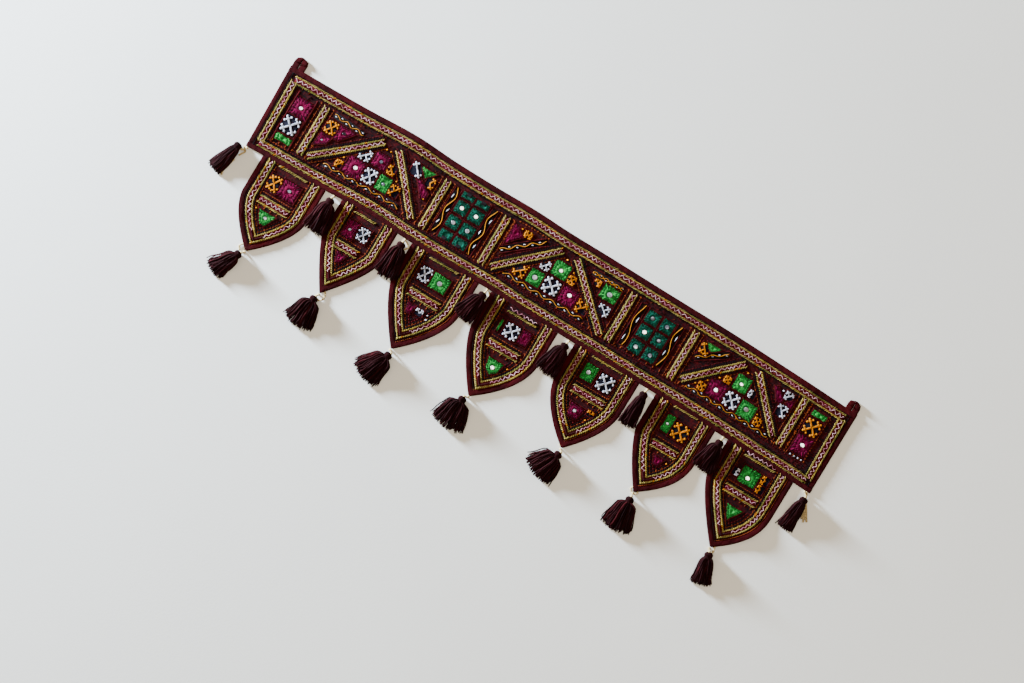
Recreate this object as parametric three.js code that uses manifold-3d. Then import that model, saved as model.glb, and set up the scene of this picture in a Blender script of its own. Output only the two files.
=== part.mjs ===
// A toran, the embroidered hanging for a doorway, laid out face up on a flat surface.
// Millimetres: X runs along the band, Y towards the hanging loops and Z up from the surface.
// Each piece of cloth is drawn flat and straight first, then bent to the way that it lies.
import * as THREE from "three";
import { mergeVertices } from "three/addons/utils/BufferGeometryUtils.js";
import { TessellateModifier } from "three/addons/modifiers/TessellateModifier.js";
import Module from "manifold-3d";

const wasm = await Module();
wasm.setup();

// Driving dimensions of the cloth
const BAND_LENGTH = 1016;
const BAND_HEIGHT = 141;
const LEFT_END_LEAN = 4.5;
const LEAN_REACH = 110;
const CLOTH_THICKNESS = 2.2;
const BINDING_WIDTH = 8.6;
const BINDING_THICKNESS = 3;
const GAP = 0.3;
const SEAM_GAP = 0.4;

// The chain-stitched strips stand proud of the cloth
const RIDGE_HEIGHT = 0.7;
const RIDGE_ROOT = 0.6;
const RIDGE_WIDTH = 11.6;
const EDGE_TO_RIDGE = 11.2;

// The two short strips across each tongue
const CROSSBAR_INSET = 33;
const CROSSBAR_WIDTH = 14;
const TOP_BAR_DROP = 5;
const TOP_BAR_WIDTH = 5;

// How finely the cloth is divided before it is bent
const BAND_STATIONS = 32;
const BAND_ROWS = 4;
const LONGEST_EDGE = 32;
const MOST_SPLITS = 6;
const ARCH_STEPS = 5;

// Driving dimensions of the tassels and of the threads that carry them
const HEAD_LENGTH = 16;
const HEAD_WIDTH = 13.6;
const HEAD_FLATNESS = 0.88;
const HEAD_SIDES = 6;
const LOCK_HEIGHT = 3.8;
const LOCK_ROOT = 9;
const LOCK_FILL = 0.72;
const LOCK_SHIFT = 0.12;
const LOCK_SHORTENING = 0.03;
const LOCK_BEND = 0.32;
const LOCK_SWELL = 0.75;
const ROOT_SHARE = 0.75;
const TIE_DIAMETER = 1.8;
const TIE_HALF_SIDES = 3;
const TIE_STEPS = 4;
const TIE_SLACK = 0.45;

// Driving dimensions of the hanging loops
const LOOP_WIDTH = 21.4;
const LOOP_THICKNESS = 2.6;
const EYE_WIDTH = 4.8;
const EYE_FOOT_WIDTH = 6.4;
const EYE_LENGTH = 9;
const EYE_TO_TOP = 4.2;

// How far the middle line of the band rises from straight as it lies, station by station
const BOW = [
  { x: -508, rise: -3.3 },
  { x: -476, rise: -2.1 },
  { x: -375, rise: 0.6 },
  { x: -298, rise: 4.5 },
  { x: -272, rise: 4.4 },
  { x: -222, rise: 1.8 },
  { x: -145, rise: 1.0 },
  { x: -69, rise: 1.8 },
  { x: -20, rise: 0 },
  { x: 60, rise: -0.4 },
  { x: 161, rise: -1.5 },
  { x: 283, rise: -2.5 },
  { x: 390, rise: -5.5 },
  { x: 467, rise: -8.2 },
  { x: 508, rise: -9.9 },
];

// Soft rises where the cloth stands clear of the surface
const LIFTS = [
  { x: -285, y: 82, radius: 62, height: 3.0 },
  { x: -20, y: 84, radius: 50, height: 2.2 },
  { x: 415, y: 84, radius: 60, height: 2.6 },
  { x: -478, y: -168, radius: 48, height: 2.6 },
  { x: -90, y: -172, radius: 44, height: 2.8 },
  { x: 52, y: -172, radius: 48, height: 3.2 },
  { x: 200, y: -170, radius: 40, height: 2.6 },
  { x: 336, y: -176, radius: 46, height: 3.4 },
  { x: 482, y: -176, radius: 54, height: 4.2 },
];

// The tongues below the band: their side lines, the line and length of the tip, the drop to
// the strip across and to where the sides start to close, and how round each side is, from 1
// for straight
const PENDANTS = [
  { left: -477, right: -365, tip: -423, length: 141, bar: 60, close: 60, leftRound: 1.65, rightRound: 1.68 },
  { left: -337, right: -237, tip: -292, length: 143, bar: 63, close: 56, leftRound: 1.25, rightRound: 1.35 },
  { left: -211, right: -91, tip: -154.5, length: 155, bar: 63, close: 58, leftRound: 1.4, rightRound: 1.75 },
  { left: -69, right: 51.5, tip: -15.5, length: 154, bar: 66, close: 58, leftRound: 1.5, rightRound: 1.9 },
  { left: 81.5, right: 198, tip: 147, length: 147, bar: 58, close: 57, leftRound: 1.82, rightRound: 1.7 },
  { left: 227.5, right: 335, tip: 276, length: 146, bar: 65, close: 57, leftRound: 1.36, rightRound: 2.2 },
  { left: 358, right: 478, tip: 420, length: 153, bar: 61, close: 62, leftRound: 1.28, rightRound: 2.2 },
];

// The strips of the band's field: six across it and six aslant
const STRIPS = [
  { fromX: -430, fromY: -41, toX: -430, toY: 40 },
  { fromX: -415, fromY: -34, toX: -330, toY: 37 },
  { fromX: -300, fromY: 37, toX: -234, toY: -40 },
  { fromX: -212, fromY: -41, toX: -212, toY: 40 },
  { fromX: -106, fromY: -41, toX: -106, toY: 40 },
  { fromX: -87, fromY: -35, toX: -9, toY: 40 },
  { fromX: 20, fromY: 40, toX: 105, toY: -38 },
  { fromX: 121, fromY: -41, toX: 121, toY: 40 },
  { fromX: 233, fromY: -41, toX: 233, toY: 40 },
  { fromX: 250, fromY: -30, toX: 321, toY: 40 },
  { fromX: 346, fromY: 41, toX: 412, toY: -29 },
  { fromX: 428, fromY: -41, toX: 428, toY: 40 },
];

// Tassels as they lie: the top of the head, the length of the yarn, and the angles from
// straight down, in degrees, between which the skirt spreads
const TIP_TASSELS = [
  { x: -427, y: -218, length: 55, from: -47, to: -10 },
  { x: -294.5, y: -215.5, length: 57, from: -31, to: 22 },
  { x: -151, y: -231, length: 60, from: -50, to: 2 },
  { x: -21, y: -229, length: 58, from: -33, to: 27 },
  { x: 149.5, y: -225.5, length: 55, from: -52, to: 9 },
  { x: 277, y: -227, length: 60, from: -21, to: 29 },
  { x: 423, y: -237, length: 54, from: -1, to: 34 },
];
const BETWEEN_TASSELS = [
  { x: -351, y: -75, length: 61, from: -18, to: 20 },
  { x: -223.5, y: -76, length: 63, from: -17, to: 18 },
  { x: -76.5, y: -77, length: 55, from: -32, to: 8 },
  { x: 71, y: -78, length: 59, from: -24, to: 12 },
  { x: 212, y: -79, length: 61, from: -12, to: 14 },
  { x: 349.5, y: -82, length: 56, from: -21, to: 16 },
];
const END_TASSELS = [
  { x: -514, y: -76, length: 59, from: -29, to: -4 },
  { x: 505, y: -90, length: 60, from: -17, to: 9 },
];

// Three layers of yarn in a tassel, each above the one before, and the share of the skirt
// that each covers
const LAYERS = [
  { base: 0, locks: 5, cover: 0.9 },
  { base: 4.2, locks: 5, cover: 1 },
  { base: 8.3, locks: 3, cover: 0.66 },
];

// Half of a tassel's head from its foot up to its top, as shares of its half width and length
const HEAD_PROFILE = [
  { out: 0, down: 1 },
  { out: 1, down: 0.85 },
  { out: 0.72, down: 0.48 },
  { out: 0.88, down: 0.26 },
  { out: 0.6, down: 0.05 },
  { out: 0, down: 0 },
];

// The hanging loops: the middle line, the height, and where the top peaks and starts to fold
const LOOPS = {
  loop_left: { x: -496.4, height: 19, peak: -1.5, shoulder: 0.55 },
  loop_right: { x: 496.6, height: 16.5, peak: 1, shoulder: 0.8 },
};

// Colours of the cloth and the yarn
const FINISHES = {
  embroidery: { color: 0x5a2030, roughness: 0.9 },
  binding: { color: 0x4e1620, roughness: 0.85 },
  yarn: { color: 0x2a0e14, roughness: 0.95 },
  thread: { color: 0xe1cda5, roughness: 0.8 },
};

const BAND_FOOT = -BAND_HEIGHT / 2;
const BAND_TOP = BAND_HEIGHT / 2;
const LEFT_END = -BAND_LENGTH / 2;
const RIGHT_END = BAND_LENGTH / 2;
const MARGIN = BINDING_WIDTH + GAP;

const bowLine = new THREE.CubicInterpolant(
  BOW.map((station) => station.x),
  BOW.map((station) => station.rise),
  1,
);

function rise(x) {
  return bowLine.evaluate(x)[0];
}

function lift(x, y) {
  let height = 0;
  for (const bump of LIFTS) {
    const share = Math.hypot(x - bump.x, y - bump.y) / bump.radius;
    if (share < 1) {
      height += bump.height * (0.5 + 0.5 * Math.cos(Math.PI * share)) ** 1.5;
    }
  }
  return height;
}

// The left end leans over at the top; the shift dies away along the band
function lean(x, y) {
  const nearness = THREE.MathUtils.clamp((LEFT_END + LEAN_REACH - x) / LEAN_REACH, 0, 1);
  return -LEFT_END_LEAN * nearness * THREE.MathUtils.clamp(y / BAND_HEIGHT, -0.5, 0.5);
}

// A steady number between -1 and 1 for each seed
function uneven(seed) {
  return Math.sin(seed * 12.9898 + 4.1414);
}

function solidOf(geometry) {
  const bare = geometry.clone();
  bare.deleteAttribute("normal");
  bare.deleteAttribute("uv");
  const merged = mergeVertices(bare, 1e-4);
  const mesh = new wasm.Mesh({
    numProp: 3,
    vertProperties: merged.attributes.position.array,
    triVerts: new Uint32Array(merged.index.array),
  });
  return new wasm.Manifold(mesh);
}

// Overlapping pieces made one closed solid
function joined(geometries) {
  const whole = geometries.map(solidOf).reduce((sum, next) => sum.add(next));
  const mesh = whole.getMesh();
  const geometry = new THREE.BufferGeometry();
  geometry.setAttribute("position", new THREE.BufferAttribute(mesh.vertProperties, 3));
  geometry.setIndex(new THREE.BufferAttribute(mesh.triVerts, 1));
  return geometry;
}

// A flat piece cut to an outline, from one height to another
function slab(outline, bottom, top, hole) {
  const shape = new THREE.Shape(outline);
  if (hole) {
    shape.holes.push(new THREE.Path(hole));
  }
  const piece = new THREE.ExtrudeGeometry(shape, { depth: top - bottom, bevelEnabled: false });
  piece.translate(0, 0, bottom);
  return piece;
}

// A straight strip between two points, divided along its length
function strip(fromX, fromY, toX, toY, width, bottom, top) {
  const along = new THREE.Vector2(toX - fromX, toY - fromY);
  const steps = Math.ceil(along.length() / LONGEST_EDGE);
  const piece = new THREE.BoxGeometry(along.length(), width, top - bottom, steps, 1, 1);
  piece.rotateZ(along.angle());
  piece.translate((fromX + toX) / 2, (fromY + toY) / 2, (bottom + top) / 2);
  return piece;
}

// A raised strip, its foot sunk in the cloth that carries it
function ridge(fromX, fromY, toX, toY, width = RIDGE_WIDTH) {
  const foot = CLOTH_THICKNESS - RIDGE_ROOT;
  return strip(fromX, fromY, toX, toY, width, foot, CLOTH_THICKNESS + RIDGE_HEIGHT);
}

// The flat pattern bent to the way that the cloth lies
function bent(geometry) {
  const points = geometry.attributes.position;
  for (let i = 0; i < points.count; i += 1) {
    const x = points.getX(i);
    const y = points.getY(i);
    points.setXYZ(i, x + lean(x, y), y + rise(x), points.getZ(i) + lift(x, y));
  }
  return geometry;
}

function divided(geometry) {
  return new TessellateModifier(LONGEST_EDGE, MOST_SPLITS).modify(geometry);
}

// A rectangle the length of the band, its ends drawn in by a margin
function bandLength(foot, top, thickness, rows, margin) {
  const piece = new THREE.BoxGeometry(BAND_LENGTH, top - foot, thickness, BAND_STATIONS, rows, 1);
  piece.translate(0, (foot + top) / 2, thickness / 2);
  const points = piece.attributes.position;
  for (let i = 0; i < points.count; i += 1) {
    points.setX(i, THREE.MathUtils.clamp(points.getX(i), LEFT_END + margin, RIGHT_END - margin));
  }
  return piece;
}

// The long cloth with its border and field strips
function bandPanel() {
  const cloth = bandLength(BAND_FOOT + MARGIN, BAND_TOP - MARGIN, CLOTH_THICKNESS, BAND_ROWS, MARGIN);
  const inset = EDGE_TO_RIDGE + RIDGE_WIDTH / 2;
  const lower = BAND_FOOT + inset;
  const upper = BAND_TOP - inset;
  const left = LEFT_END + inset;
  const right = RIGHT_END - inset;
  const ridges = [
    ridge(left, upper, right, upper),
    ridge(left, lower, right, lower),
    ridge(left, lower, left, upper),
    ridge(right, lower, right, upper),
  ];
  for (const row of STRIPS) {
    ridges.push(ridge(row.fromX, row.fromY, row.toX, row.toY));
  }
  return joined([cloth, ...ridges].map(bent));
}

// The strips folded over the band's two ends
function endBinding(middle) {
  const foot = BAND_FOOT + MARGIN;
  return bent(strip(middle, foot, middle, BAND_TOP - MARGIN, BINDING_WIDTH, 0, BINDING_THICKNESS));
}

// The strips folded over the band's long edges
function edgeBinding(foot) {
  return bent(bandLength(foot, foot + BINDING_WIDTH, BINDING_THICKNESS, 1, 0));
}

// Where a tongue's side stands at a height, moved in from the edge by an inset
function sideX(pendant, side, y, inset) {
  const tipY = BAND_FOOT - pendant.length;
  const closingY = BAND_FOOT - pendant.close;
  const reach = pendant[side] - pendant.tip;
  const round = pendant[`${side}Round`];
  const depth = THREE.MathUtils.clamp((closingY - y) / (closingY - tipY), 0, 1);
  const slope = (Math.abs(reach) * round * depth ** (round - 1)) / (closingY - tipY);
  return pendant.tip + reach * (1 - depth ** round) - Math.sign(reach) * inset * Math.hypot(1, slope);
}

// Where the two sides meet at an inset, found by halving
function meetingY(pendant, inset) {
  let low = BAND_FOOT - pendant.length;
  let high = BAND_FOOT - pendant.close;
  for (let i = 0; i < 40; i += 1) {
    const middle = (low + high) / 2;
    if (sideX(pendant, "left", middle, inset) > sideX(pendant, "right", middle, inset)) {
      low = middle;
    } else {
      high = middle;
    }
  }
  return high;
}

// A tongue's outline at an inset: down the left side to the tip and up the right side
function arch(pendant, inset, top) {
  const meeting = inset > 0 ? meetingY(pendant, inset) : BAND_FOOT - pendant.length;
  const heights = [top];
  for (let i = 0; i < ARCH_STEPS; i += 1) {
    heights.push(THREE.MathUtils.lerp(BAND_FOOT - pendant.close, meeting, i / ARCH_STEPS));
  }
  const side = (name) => heights.map((y) => new THREE.Vector2(sideX(pendant, name, y, inset), y));
  const tip = new THREE.Vector2(sideX(pendant, "left", meeting, inset), meeting);
  return [...side("left"), tip, ...side("right").reverse()];
}

function crossbar(pendant, drop, width) {
  const y = BAND_FOOT - drop;
  const left = sideX(pendant, "left", y, CROSSBAR_INSET);
  const right = sideX(pendant, "right", y, CROSSBAR_INSET);
  return ridge(left, y, right, y, width);
}

// A tongue's embroidered cloth with its pointed border strip and two short strips across
function pendantPanel(pendant) {
  const top = BAND_FOOT - SEAM_GAP;
  const cloth = slab(arch(pendant, MARGIN, top), 0, CLOTH_THICKNESS);
  const outer = arch(pendant, EDGE_TO_RIDGE, top - GAP);
  const inner = arch(pendant, EDGE_TO_RIDGE + RIDGE_WIDTH, top - GAP).reverse();
  const border = slab([...outer, ...inner], CLOTH_THICKNESS - RIDGE_ROOT, CLOTH_THICKNESS + RIDGE_HEIGHT);
  const topBar = crossbar(pendant, TOP_BAR_DROP, TOP_BAR_WIDTH);
  const bar = crossbar(pendant, pendant.bar, CROSSBAR_WIDTH);
  return joined([divided(cloth), divided(border), topBar, bar].map(bent));
}

// The folded strip round a tongue's sides and tip
function pendantBinding(pendant) {
  const top = BAND_FOOT - SEAM_GAP;
  const outline = [...arch(pendant, 0, top), ...arch(pendant, BINDING_WIDTH, top).reverse()];
  return bent(divided(slab(outline, 0, BINDING_THICKNESS)));
}

function swing(row) {
  return THREE.MathUtils.degToRad((row.from + row.to) / 2);
}

// Where an upright line stands in a tassel's own frame, at a height in that frame
function upright(row, x, y) {
  return (x - row.x + y * Math.sin(swing(row))) / Math.cos(swing(row));
}

// The left and right end of a tassel's skirt at a height, kept inside a gap if there is one
function rung(row, gap, y, half) {
  return {
    y,
    low: gap ? Math.max(-half, upright(row, gap.from, y)) : -half,
    high: gap ? Math.min(half, upright(row, gap.to, y)) : half,
  };
}

// One lock of yarn with a flat foot, between two shares of the skirt's width
function lock(rungs, from, to, base) {
  const side = (share) =>
    rungs.map((step) => new THREE.Vector2(THREE.MathUtils.lerp(step.low, step.high, share), step.y));
  return slab([...side(from), ...side(to).reverse()], base, base + LOCK_HEIGHT);
}

// A bunch of yarn in its own frame: a rounded head, and layers of locks that spread fast below
// it and then hang straighter. Where the tassel lies in a gap of the cloth, the lowest layer
// keeps inside the gap.
function tassel(row, seed, gap) {
  const profile = HEAD_PROFILE.map(
    (ring) => new THREE.Vector2((ring.out * HEAD_WIDTH) / 2, -ring.down * HEAD_LENGTH),
  );
  const head = new THREE.LatheGeometry(profile, HEAD_SIDES);
  head.scale(1, 1, HEAD_FLATNESS);
  head.translate(0, 0, (HEAD_WIDTH / 2) * HEAD_FLATNESS);
  const pieces = [head];
  const halfSpread = THREE.MathUtils.degToRad((row.to - row.from) / 2);
  LAYERS.forEach((layer, level) => {
    const rootHalf = (HEAD_WIDTH / 2) * ROOT_SHARE * layer.cover;
    const reach = row.length * Math.sin(halfSpread) * layer.cover;
    const bounds = level === 0 ? gap : undefined;
    for (let i = 0; i < layer.locks; i += 1) {
      const wobble = uneven(seed * 31 + level * 7 + i);
      const middle = (i + 0.5 + LOCK_SHIFT * wobble) / layer.locks;
      const length = row.length * (1 - LOCK_SHORTENING * (1 - wobble));
      const endY = -Math.sqrt(length ** 2 - THREE.MathUtils.lerp(-reach, reach, middle) ** 2);
      const bendY = THREE.MathUtils.lerp(-LOCK_ROOT, endY, LOCK_BEND);
      const rungs = [
        rung(row, bounds, -LOCK_ROOT, rootHalf),
        rung(row, bounds, bendY, THREE.MathUtils.lerp(rootHalf, reach, LOCK_SWELL)),
        rung(row, bounds, endY, reach),
      ];
      const half = LOCK_FILL / layer.locks / 2;
      pieces.push(lock(rungs, middle - half, middle + half, layer.base));
    }
  });
  return joined(pieces);
}

// A point of a tassel's own frame, as it lies
function onTassel(row, x, y) {
  const point = new THREE.Vector3(x, y, (HEAD_WIDTH / 2) * HEAD_FLATNESS);
  point.applyAxisAngle(new THREE.Vector3(0, 0, 1), swing(row));
  return point.add(new THREE.Vector3(row.x, row.y, 0));
}

// A point just below the cloth's edge, where a thread is sewn on
function belowEdge(x, drop) {
  return new THREE.Vector3(x, BAND_FOOT - drop + rise(x) - SEAM_GAP, BINDING_THICKNESS / 2);
}

// The thread that carries a tassel: it leaves the cloth's edge straight down and level, and
// arrives square to the head, or to the head's side, at a point of the tassel's own frame
function tie(from, row, x, y, outX, outY) {
  const section = new THREE.Shape();
  section.absarc(0, 0, TIE_DIAMETER / 2, 0, 2 * Math.PI);
  const to = onTassel(row, x, y);
  const slack = from.distanceTo(to) * TIE_SLACK;
  const leaving = from.clone().add(new THREE.Vector3(0, -slack, 0));
  const arriving = onTassel(row, x + outX * slack, y + outY * slack);
  const path = new THREE.CubicBezierCurve3(from, leaving, arriving, to);
  const settings = { steps: TIE_STEPS, curveSegments: TIE_HALF_SIDES, extrudePath: path };
  return new THREE.ExtrudeGeometry(section, settings);
}

// A tape folded into a loop: one flat piece with the eye near its top, wider at its foot
function hangingLoop(row) {
  const foot = BAND_TOP + SEAM_GAP;
  const top = foot + row.height;
  const side = foot + row.height * row.shoulder;
  const half = LOOP_WIDTH / 2;
  const outline = new THREE.Shape();
  outline.moveTo(row.x - half, foot);
  outline.lineTo(row.x + half, foot);
  outline.lineTo(row.x + half, side);
  outline.quadraticCurveTo(row.x + half * 0.8, top - 1, row.x + row.peak, top);
  outline.quadraticCurveTo(row.x - half * 0.8, top - 1, row.x - half, side);
  const eyeTop = top - EYE_TO_TOP;
  const eyeFoot = eyeTop - EYE_LENGTH;
  const eye = [
    new THREE.Vector2(row.x - EYE_FOOT_WIDTH / 2, eyeFoot),
    new THREE.Vector2(row.x + EYE_FOOT_WIDTH / 2, eyeFoot),
    new THREE.Vector2(row.x + EYE_WIDTH / 2, eyeTop),
    new THREE.Vector2(row.x - EYE_WIDTH / 2, eyeTop),
  ];
  return bent(slab(outline.getPoints(3), 0, LOOP_THICKNESS, eye));
}

const toran = new THREE.Group();

function add(name, geometry, finish) {
  geometry.computeVertexNormals();
  const mesh = new THREE.Mesh(geometry, new THREE.MeshStandardMaterial({ ...finish, metalness: 0 }));
  mesh.name = name;
  toran.add(mesh);
  return mesh;
}

function addTassel(name, row, seed, gap) {
  const mesh = add(name, tassel(row, seed, gap), FINISHES.yarn);
  mesh.position.set(row.x, row.y, 0);
  mesh.rotation.z = swing(row);
}

add("band_panel", bandPanel(), FINISHES.embroidery);
add("band_binding_top", edgeBinding(BAND_TOP - BINDING_WIDTH), FINISHES.binding);
add("band_binding_bottom", edgeBinding(BAND_FOOT), FINISHES.binding);
add("band_binding_left", endBinding(LEFT_END + BINDING_WIDTH / 2), FINISHES.binding);
add("band_binding_right", endBinding(RIGHT_END - BINDING_WIDTH / 2), FINISHES.binding);

PENDANTS.forEach((pendant, i) => {
  add(`pendant_${i + 1}_panel`, pendantPanel(pendant), FINISHES.embroidery);
  add(`pendant_${i + 1}_binding`, pendantBinding(pendant), FINISHES.binding);
});

TIP_TASSELS.forEach((row, i) => {
  const pendant = PENDANTS[i];
  addTassel(`tip_tassel_${i + 1}`, row, i);
  const thread = tie(belowEdge(pendant.tip, pendant.length), row, 0, GAP, 0, 1);
  add(`tip_tie_${i + 1}`, thread, FINISHES.thread);
});

BETWEEN_TASSELS.forEach((row, i) => {
  const gap = { from: PENDANTS[i].right + GAP, to: PENDANTS[i + 1].left - GAP };
  addTassel(`between_tassel_${i + 1}`, row, i + TIP_TASSELS.length, gap);
  add(`between_tie_${i + 1}`, tie(belowEdge(row.x + 1, 0), row, 0, GAP, 0, 1), FINISHES.thread);
});

const [leftTassel, rightTassel] = END_TASSELS;
addTassel("end_tassel_left", leftTassel, 20);
addTassel("end_tassel_right", rightTassel, 21);
const knob = HEAD_PROFILE[3];
const knobSide = knob.out * (HEAD_WIDTH / 2) * Math.cos(Math.PI / HEAD_SIDES) + GAP;
const leftTie = tie(belowEdge(-502.5, 0), leftTassel, knobSide, -knob.down * HEAD_LENGTH, 1, 0);
add("end_tie_left", leftTie, FINISHES.thread);
add("end_tie_right", tie(belowEdge(500, 0), rightTassel, 0, GAP, 0, 1), FINISHES.thread);

for (const [name, row] of Object.entries(LOOPS)) {
  add(name, hangingLoop(row), FINISHES.binding);
}

export default toran;
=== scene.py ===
import math
import bpy
import numpy as np
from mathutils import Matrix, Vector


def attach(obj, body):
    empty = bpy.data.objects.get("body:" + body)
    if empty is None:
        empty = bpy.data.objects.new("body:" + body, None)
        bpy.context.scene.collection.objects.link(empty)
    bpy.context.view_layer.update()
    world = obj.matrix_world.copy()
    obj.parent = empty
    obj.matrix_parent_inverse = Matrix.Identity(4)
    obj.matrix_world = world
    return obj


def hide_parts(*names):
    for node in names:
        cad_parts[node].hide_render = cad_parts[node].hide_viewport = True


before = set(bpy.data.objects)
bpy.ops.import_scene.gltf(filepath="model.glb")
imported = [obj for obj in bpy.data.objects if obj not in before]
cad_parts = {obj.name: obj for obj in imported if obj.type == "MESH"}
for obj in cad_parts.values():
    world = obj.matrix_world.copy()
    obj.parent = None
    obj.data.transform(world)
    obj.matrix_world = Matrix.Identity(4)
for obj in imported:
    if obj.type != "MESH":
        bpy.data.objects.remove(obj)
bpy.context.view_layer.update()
bpy.ops.object.select_all(action="DESELECT")

# The cut of the cloth, as in the frame
LEFT_END = -508
RIGHT_END = 508
BAND_FOOT = -70.5
BAND_TOP = 70.5
LEFT_END_LEAN = 4.5
LEAN_REACH = 110
CLOTH_TOP = 2.2
CLOTH_THICKNESS = 1.5
BINDING_WIDTH = 8.6
BINDING_THICKNESS = 3
SEAM_GAP = 0.4
TUCK = 3
SIDE_STATIONS = 60

BOW_X = np.array([-508, -476, -375, -298, -272, -222, -145, -69, -20, 60, 161, 283, 390, 467, 508])
BOW_RISE = np.array([-3.3, -2.1, 0.6, 4.5, 4.4, 1.8, 1, 1.8, 0, -0.4, -1.5, -2.5, -5.5, -8.2, -9.9])

LIFTS = [
    dict(x=-285, y=82, radius=62, height=3.0),
    dict(x=-20, y=84, radius=50, height=2.2),
    dict(x=415, y=84, radius=60, height=2.6),
    dict(x=-478, y=-168, radius=48, height=2.6),
    dict(x=-90, y=-172, radius=44, height=2.8),
    dict(x=52, y=-172, radius=48, height=3.2),
    dict(x=200, y=-170, radius=40, height=2.6),
    dict(x=336, y=-176, radius=46, height=3.4),
    dict(x=482, y=-176, radius=54, height=4.2),
]

# The tongues: side lines, tip, drop to the strip across and to where the sides close, and how
# round each side is
PENDANTS = [
    dict(left=-477, right=-365, tip=-423, length=141, bar=60, close=60, rounds=(1.65, 1.68)),
    dict(left=-337, right=-237, tip=-292, length=143, bar=63, close=56, rounds=(1.25, 1.35)),
    dict(left=-211, right=-91, tip=-154.5, length=155, bar=63, close=58, rounds=(1.4, 1.75)),
    dict(left=-69, right=51.5, tip=-15.5, length=154, bar=66, close=58, rounds=(1.5, 1.9)),
    dict(left=81.5, right=198, tip=147, length=147, bar=58, close=57, rounds=(1.82, 1.7)),
    dict(left=227.5, right=335, tip=276, length=146, bar=65, close=57, rounds=(1.36, 2.2)),
    dict(left=358, right=478, tip=420, length=153, bar=61, close=62, rounds=(1.28, 2.2)),
]

# Where the middle of the pointed strip runs on each tongue, in from its left and right edge
STRIP_INSETS = [
    (17, 16.4), (14.6, 16.1), (17.1, 19.7), (18.7, 15.9), (16.2, 17.7), (17.3, 18.5), (19.5, 19),
]

TIP_TASSELS = [
    dict(x=-427, y=-218, length=55, spread=(-47, -10)),
    dict(x=-294.5, y=-215.5, length=57, spread=(-31, 22)),
    dict(x=-151, y=-231, length=60, spread=(-50, 2)),
    dict(x=-21, y=-229, length=58, spread=(-33, 27)),
    dict(x=149.5, y=-225.5, length=55, spread=(-52, 9)),
    dict(x=277, y=-227, length=60, spread=(-21, 29)),
    dict(x=423, y=-237, length=54, spread=(-1, 34)),
]
BETWEEN_TASSELS = [
    dict(x=-351, y=-75, length=61, spread=(-18, 20)),
    dict(x=-223.5, y=-76, length=63, spread=(-17, 18)),
    dict(x=-76.5, y=-77, length=55, spread=(-32, 8)),
    dict(x=71, y=-78, length=59, spread=(-24, 12)),
    dict(x=212, y=-79, length=61, spread=(-12, 14)),
    dict(x=349.5, y=-82, length=56, spread=(-21, 16)),
]
END_TASSELS = [
    dict(x=-514, y=-76, length=59, spread=(-29, -4)),
    dict(x=505, y=-90, length=60, spread=(-17, 9)),
]

HEAD_LENGTH = 16
KNOB_LENGTH = 8.6
KNOB_HALF = 6.1
NECK_HALF = 5.5
TASSEL_MIDDLE = 6
SHOULDER_SHARE = 0.56
STRANDS = 136
TIE_SLACK = 0.45

LOOPS = {
    "loop_left": dict(x=-496.4, height=19, peak=-1.5, slit=0.15, crease=8.5),
    "loop_right": dict(x=496.6, height=16.5, peak=1, slit=0.2, crease=6),
}
LOOP_HALF = 10.7
LOOP_THICKNESS = 2.6

# The photograph's frame laid over the cloth: its middle, its turn and its scale
PHOTO_STEP = 1.53
PHOTO_U = 5
PHOTO_V = -10.75
PHOTO_TURN = math.radians(31.3)


# How the cloth lies


def rise(x):
    """How far the middle line of the band rises from straight."""
    x = np.clip(x, BOW_X[0], BOW_X[-1])
    at = np.clip(np.searchsorted(BOW_X, x, side="right") - 1, 0, len(BOW_X) - 2)
    secants = np.diff(BOW_RISE) / np.diff(BOW_X)
    slopes = np.concatenate([[0], (secants[1:] + secants[:-1]) / 2, [0]])
    step = BOW_X[at + 1] - BOW_X[at]
    t = (x - BOW_X[at]) / step
    first = (2 * t**3 - 3 * t**2 + 1) * BOW_RISE[at] + (t**3 - 2 * t**2 + t) * step * slopes[at]
    second = (3 * t**2 - 2 * t**3) * BOW_RISE[at + 1] + (t**3 - t**2) * step * slopes[at + 1]
    return first + second


def lift(x, y):
    """How far the cloth stands clear of the floor."""
    height = np.zeros_like(x)
    for bump in LIFTS:
        share = np.hypot(x - bump["x"], y - bump["y"]) / bump["radius"]
        crown = bump["height"] * (0.5 + 0.5 * np.cos(np.pi * share)) ** 1.5
        height += np.where(share < 1, crown, 0)
    return height


def lean(x, y):
    nearness = np.clip((LEFT_END + LEAN_REACH - x) / LEAN_REACH, 0, 1)
    return -LEFT_END_LEAN * nearness * np.clip(y / (BAND_TOP - BAND_FOOT), -0.5, 0.5)


def lie(points):
    """Flat millimetres to metres on the floor."""
    x, y, z = np.asarray(points, float).T
    return np.column_stack([x + lean(x, y), y + rise(x), z + lift(x, y)]) / 1000


def in_metres(points):
    return np.asarray(points, float) / 1000


def from_photo(u, v):
    """A place read from the photograph, as flat millimetres on the cloth."""
    x = (np.asarray(u, float) + PHOTO_U) * PHOTO_STEP
    y = (np.asarray(v, float) + PHOTO_V) * PHOTO_STEP
    y = y - rise(x)
    return np.stack([x - lean(x, y), y], axis=-1)


def ground(x, y):
    """The height of the embroidered face, with the puckers that dense stitching leaves."""
    pucker = np.sin(x * 0.19 + 1.3 * np.sin(y * 0.11)) * np.sin(y * 0.23 + 0.7)
    pucker = pucker + 0.6 * np.sin(x * 0.41 - y * 0.33 + 2)
    return CLOTH_TOP + 0.2 * pucker


# Shapes of the tongues


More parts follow.
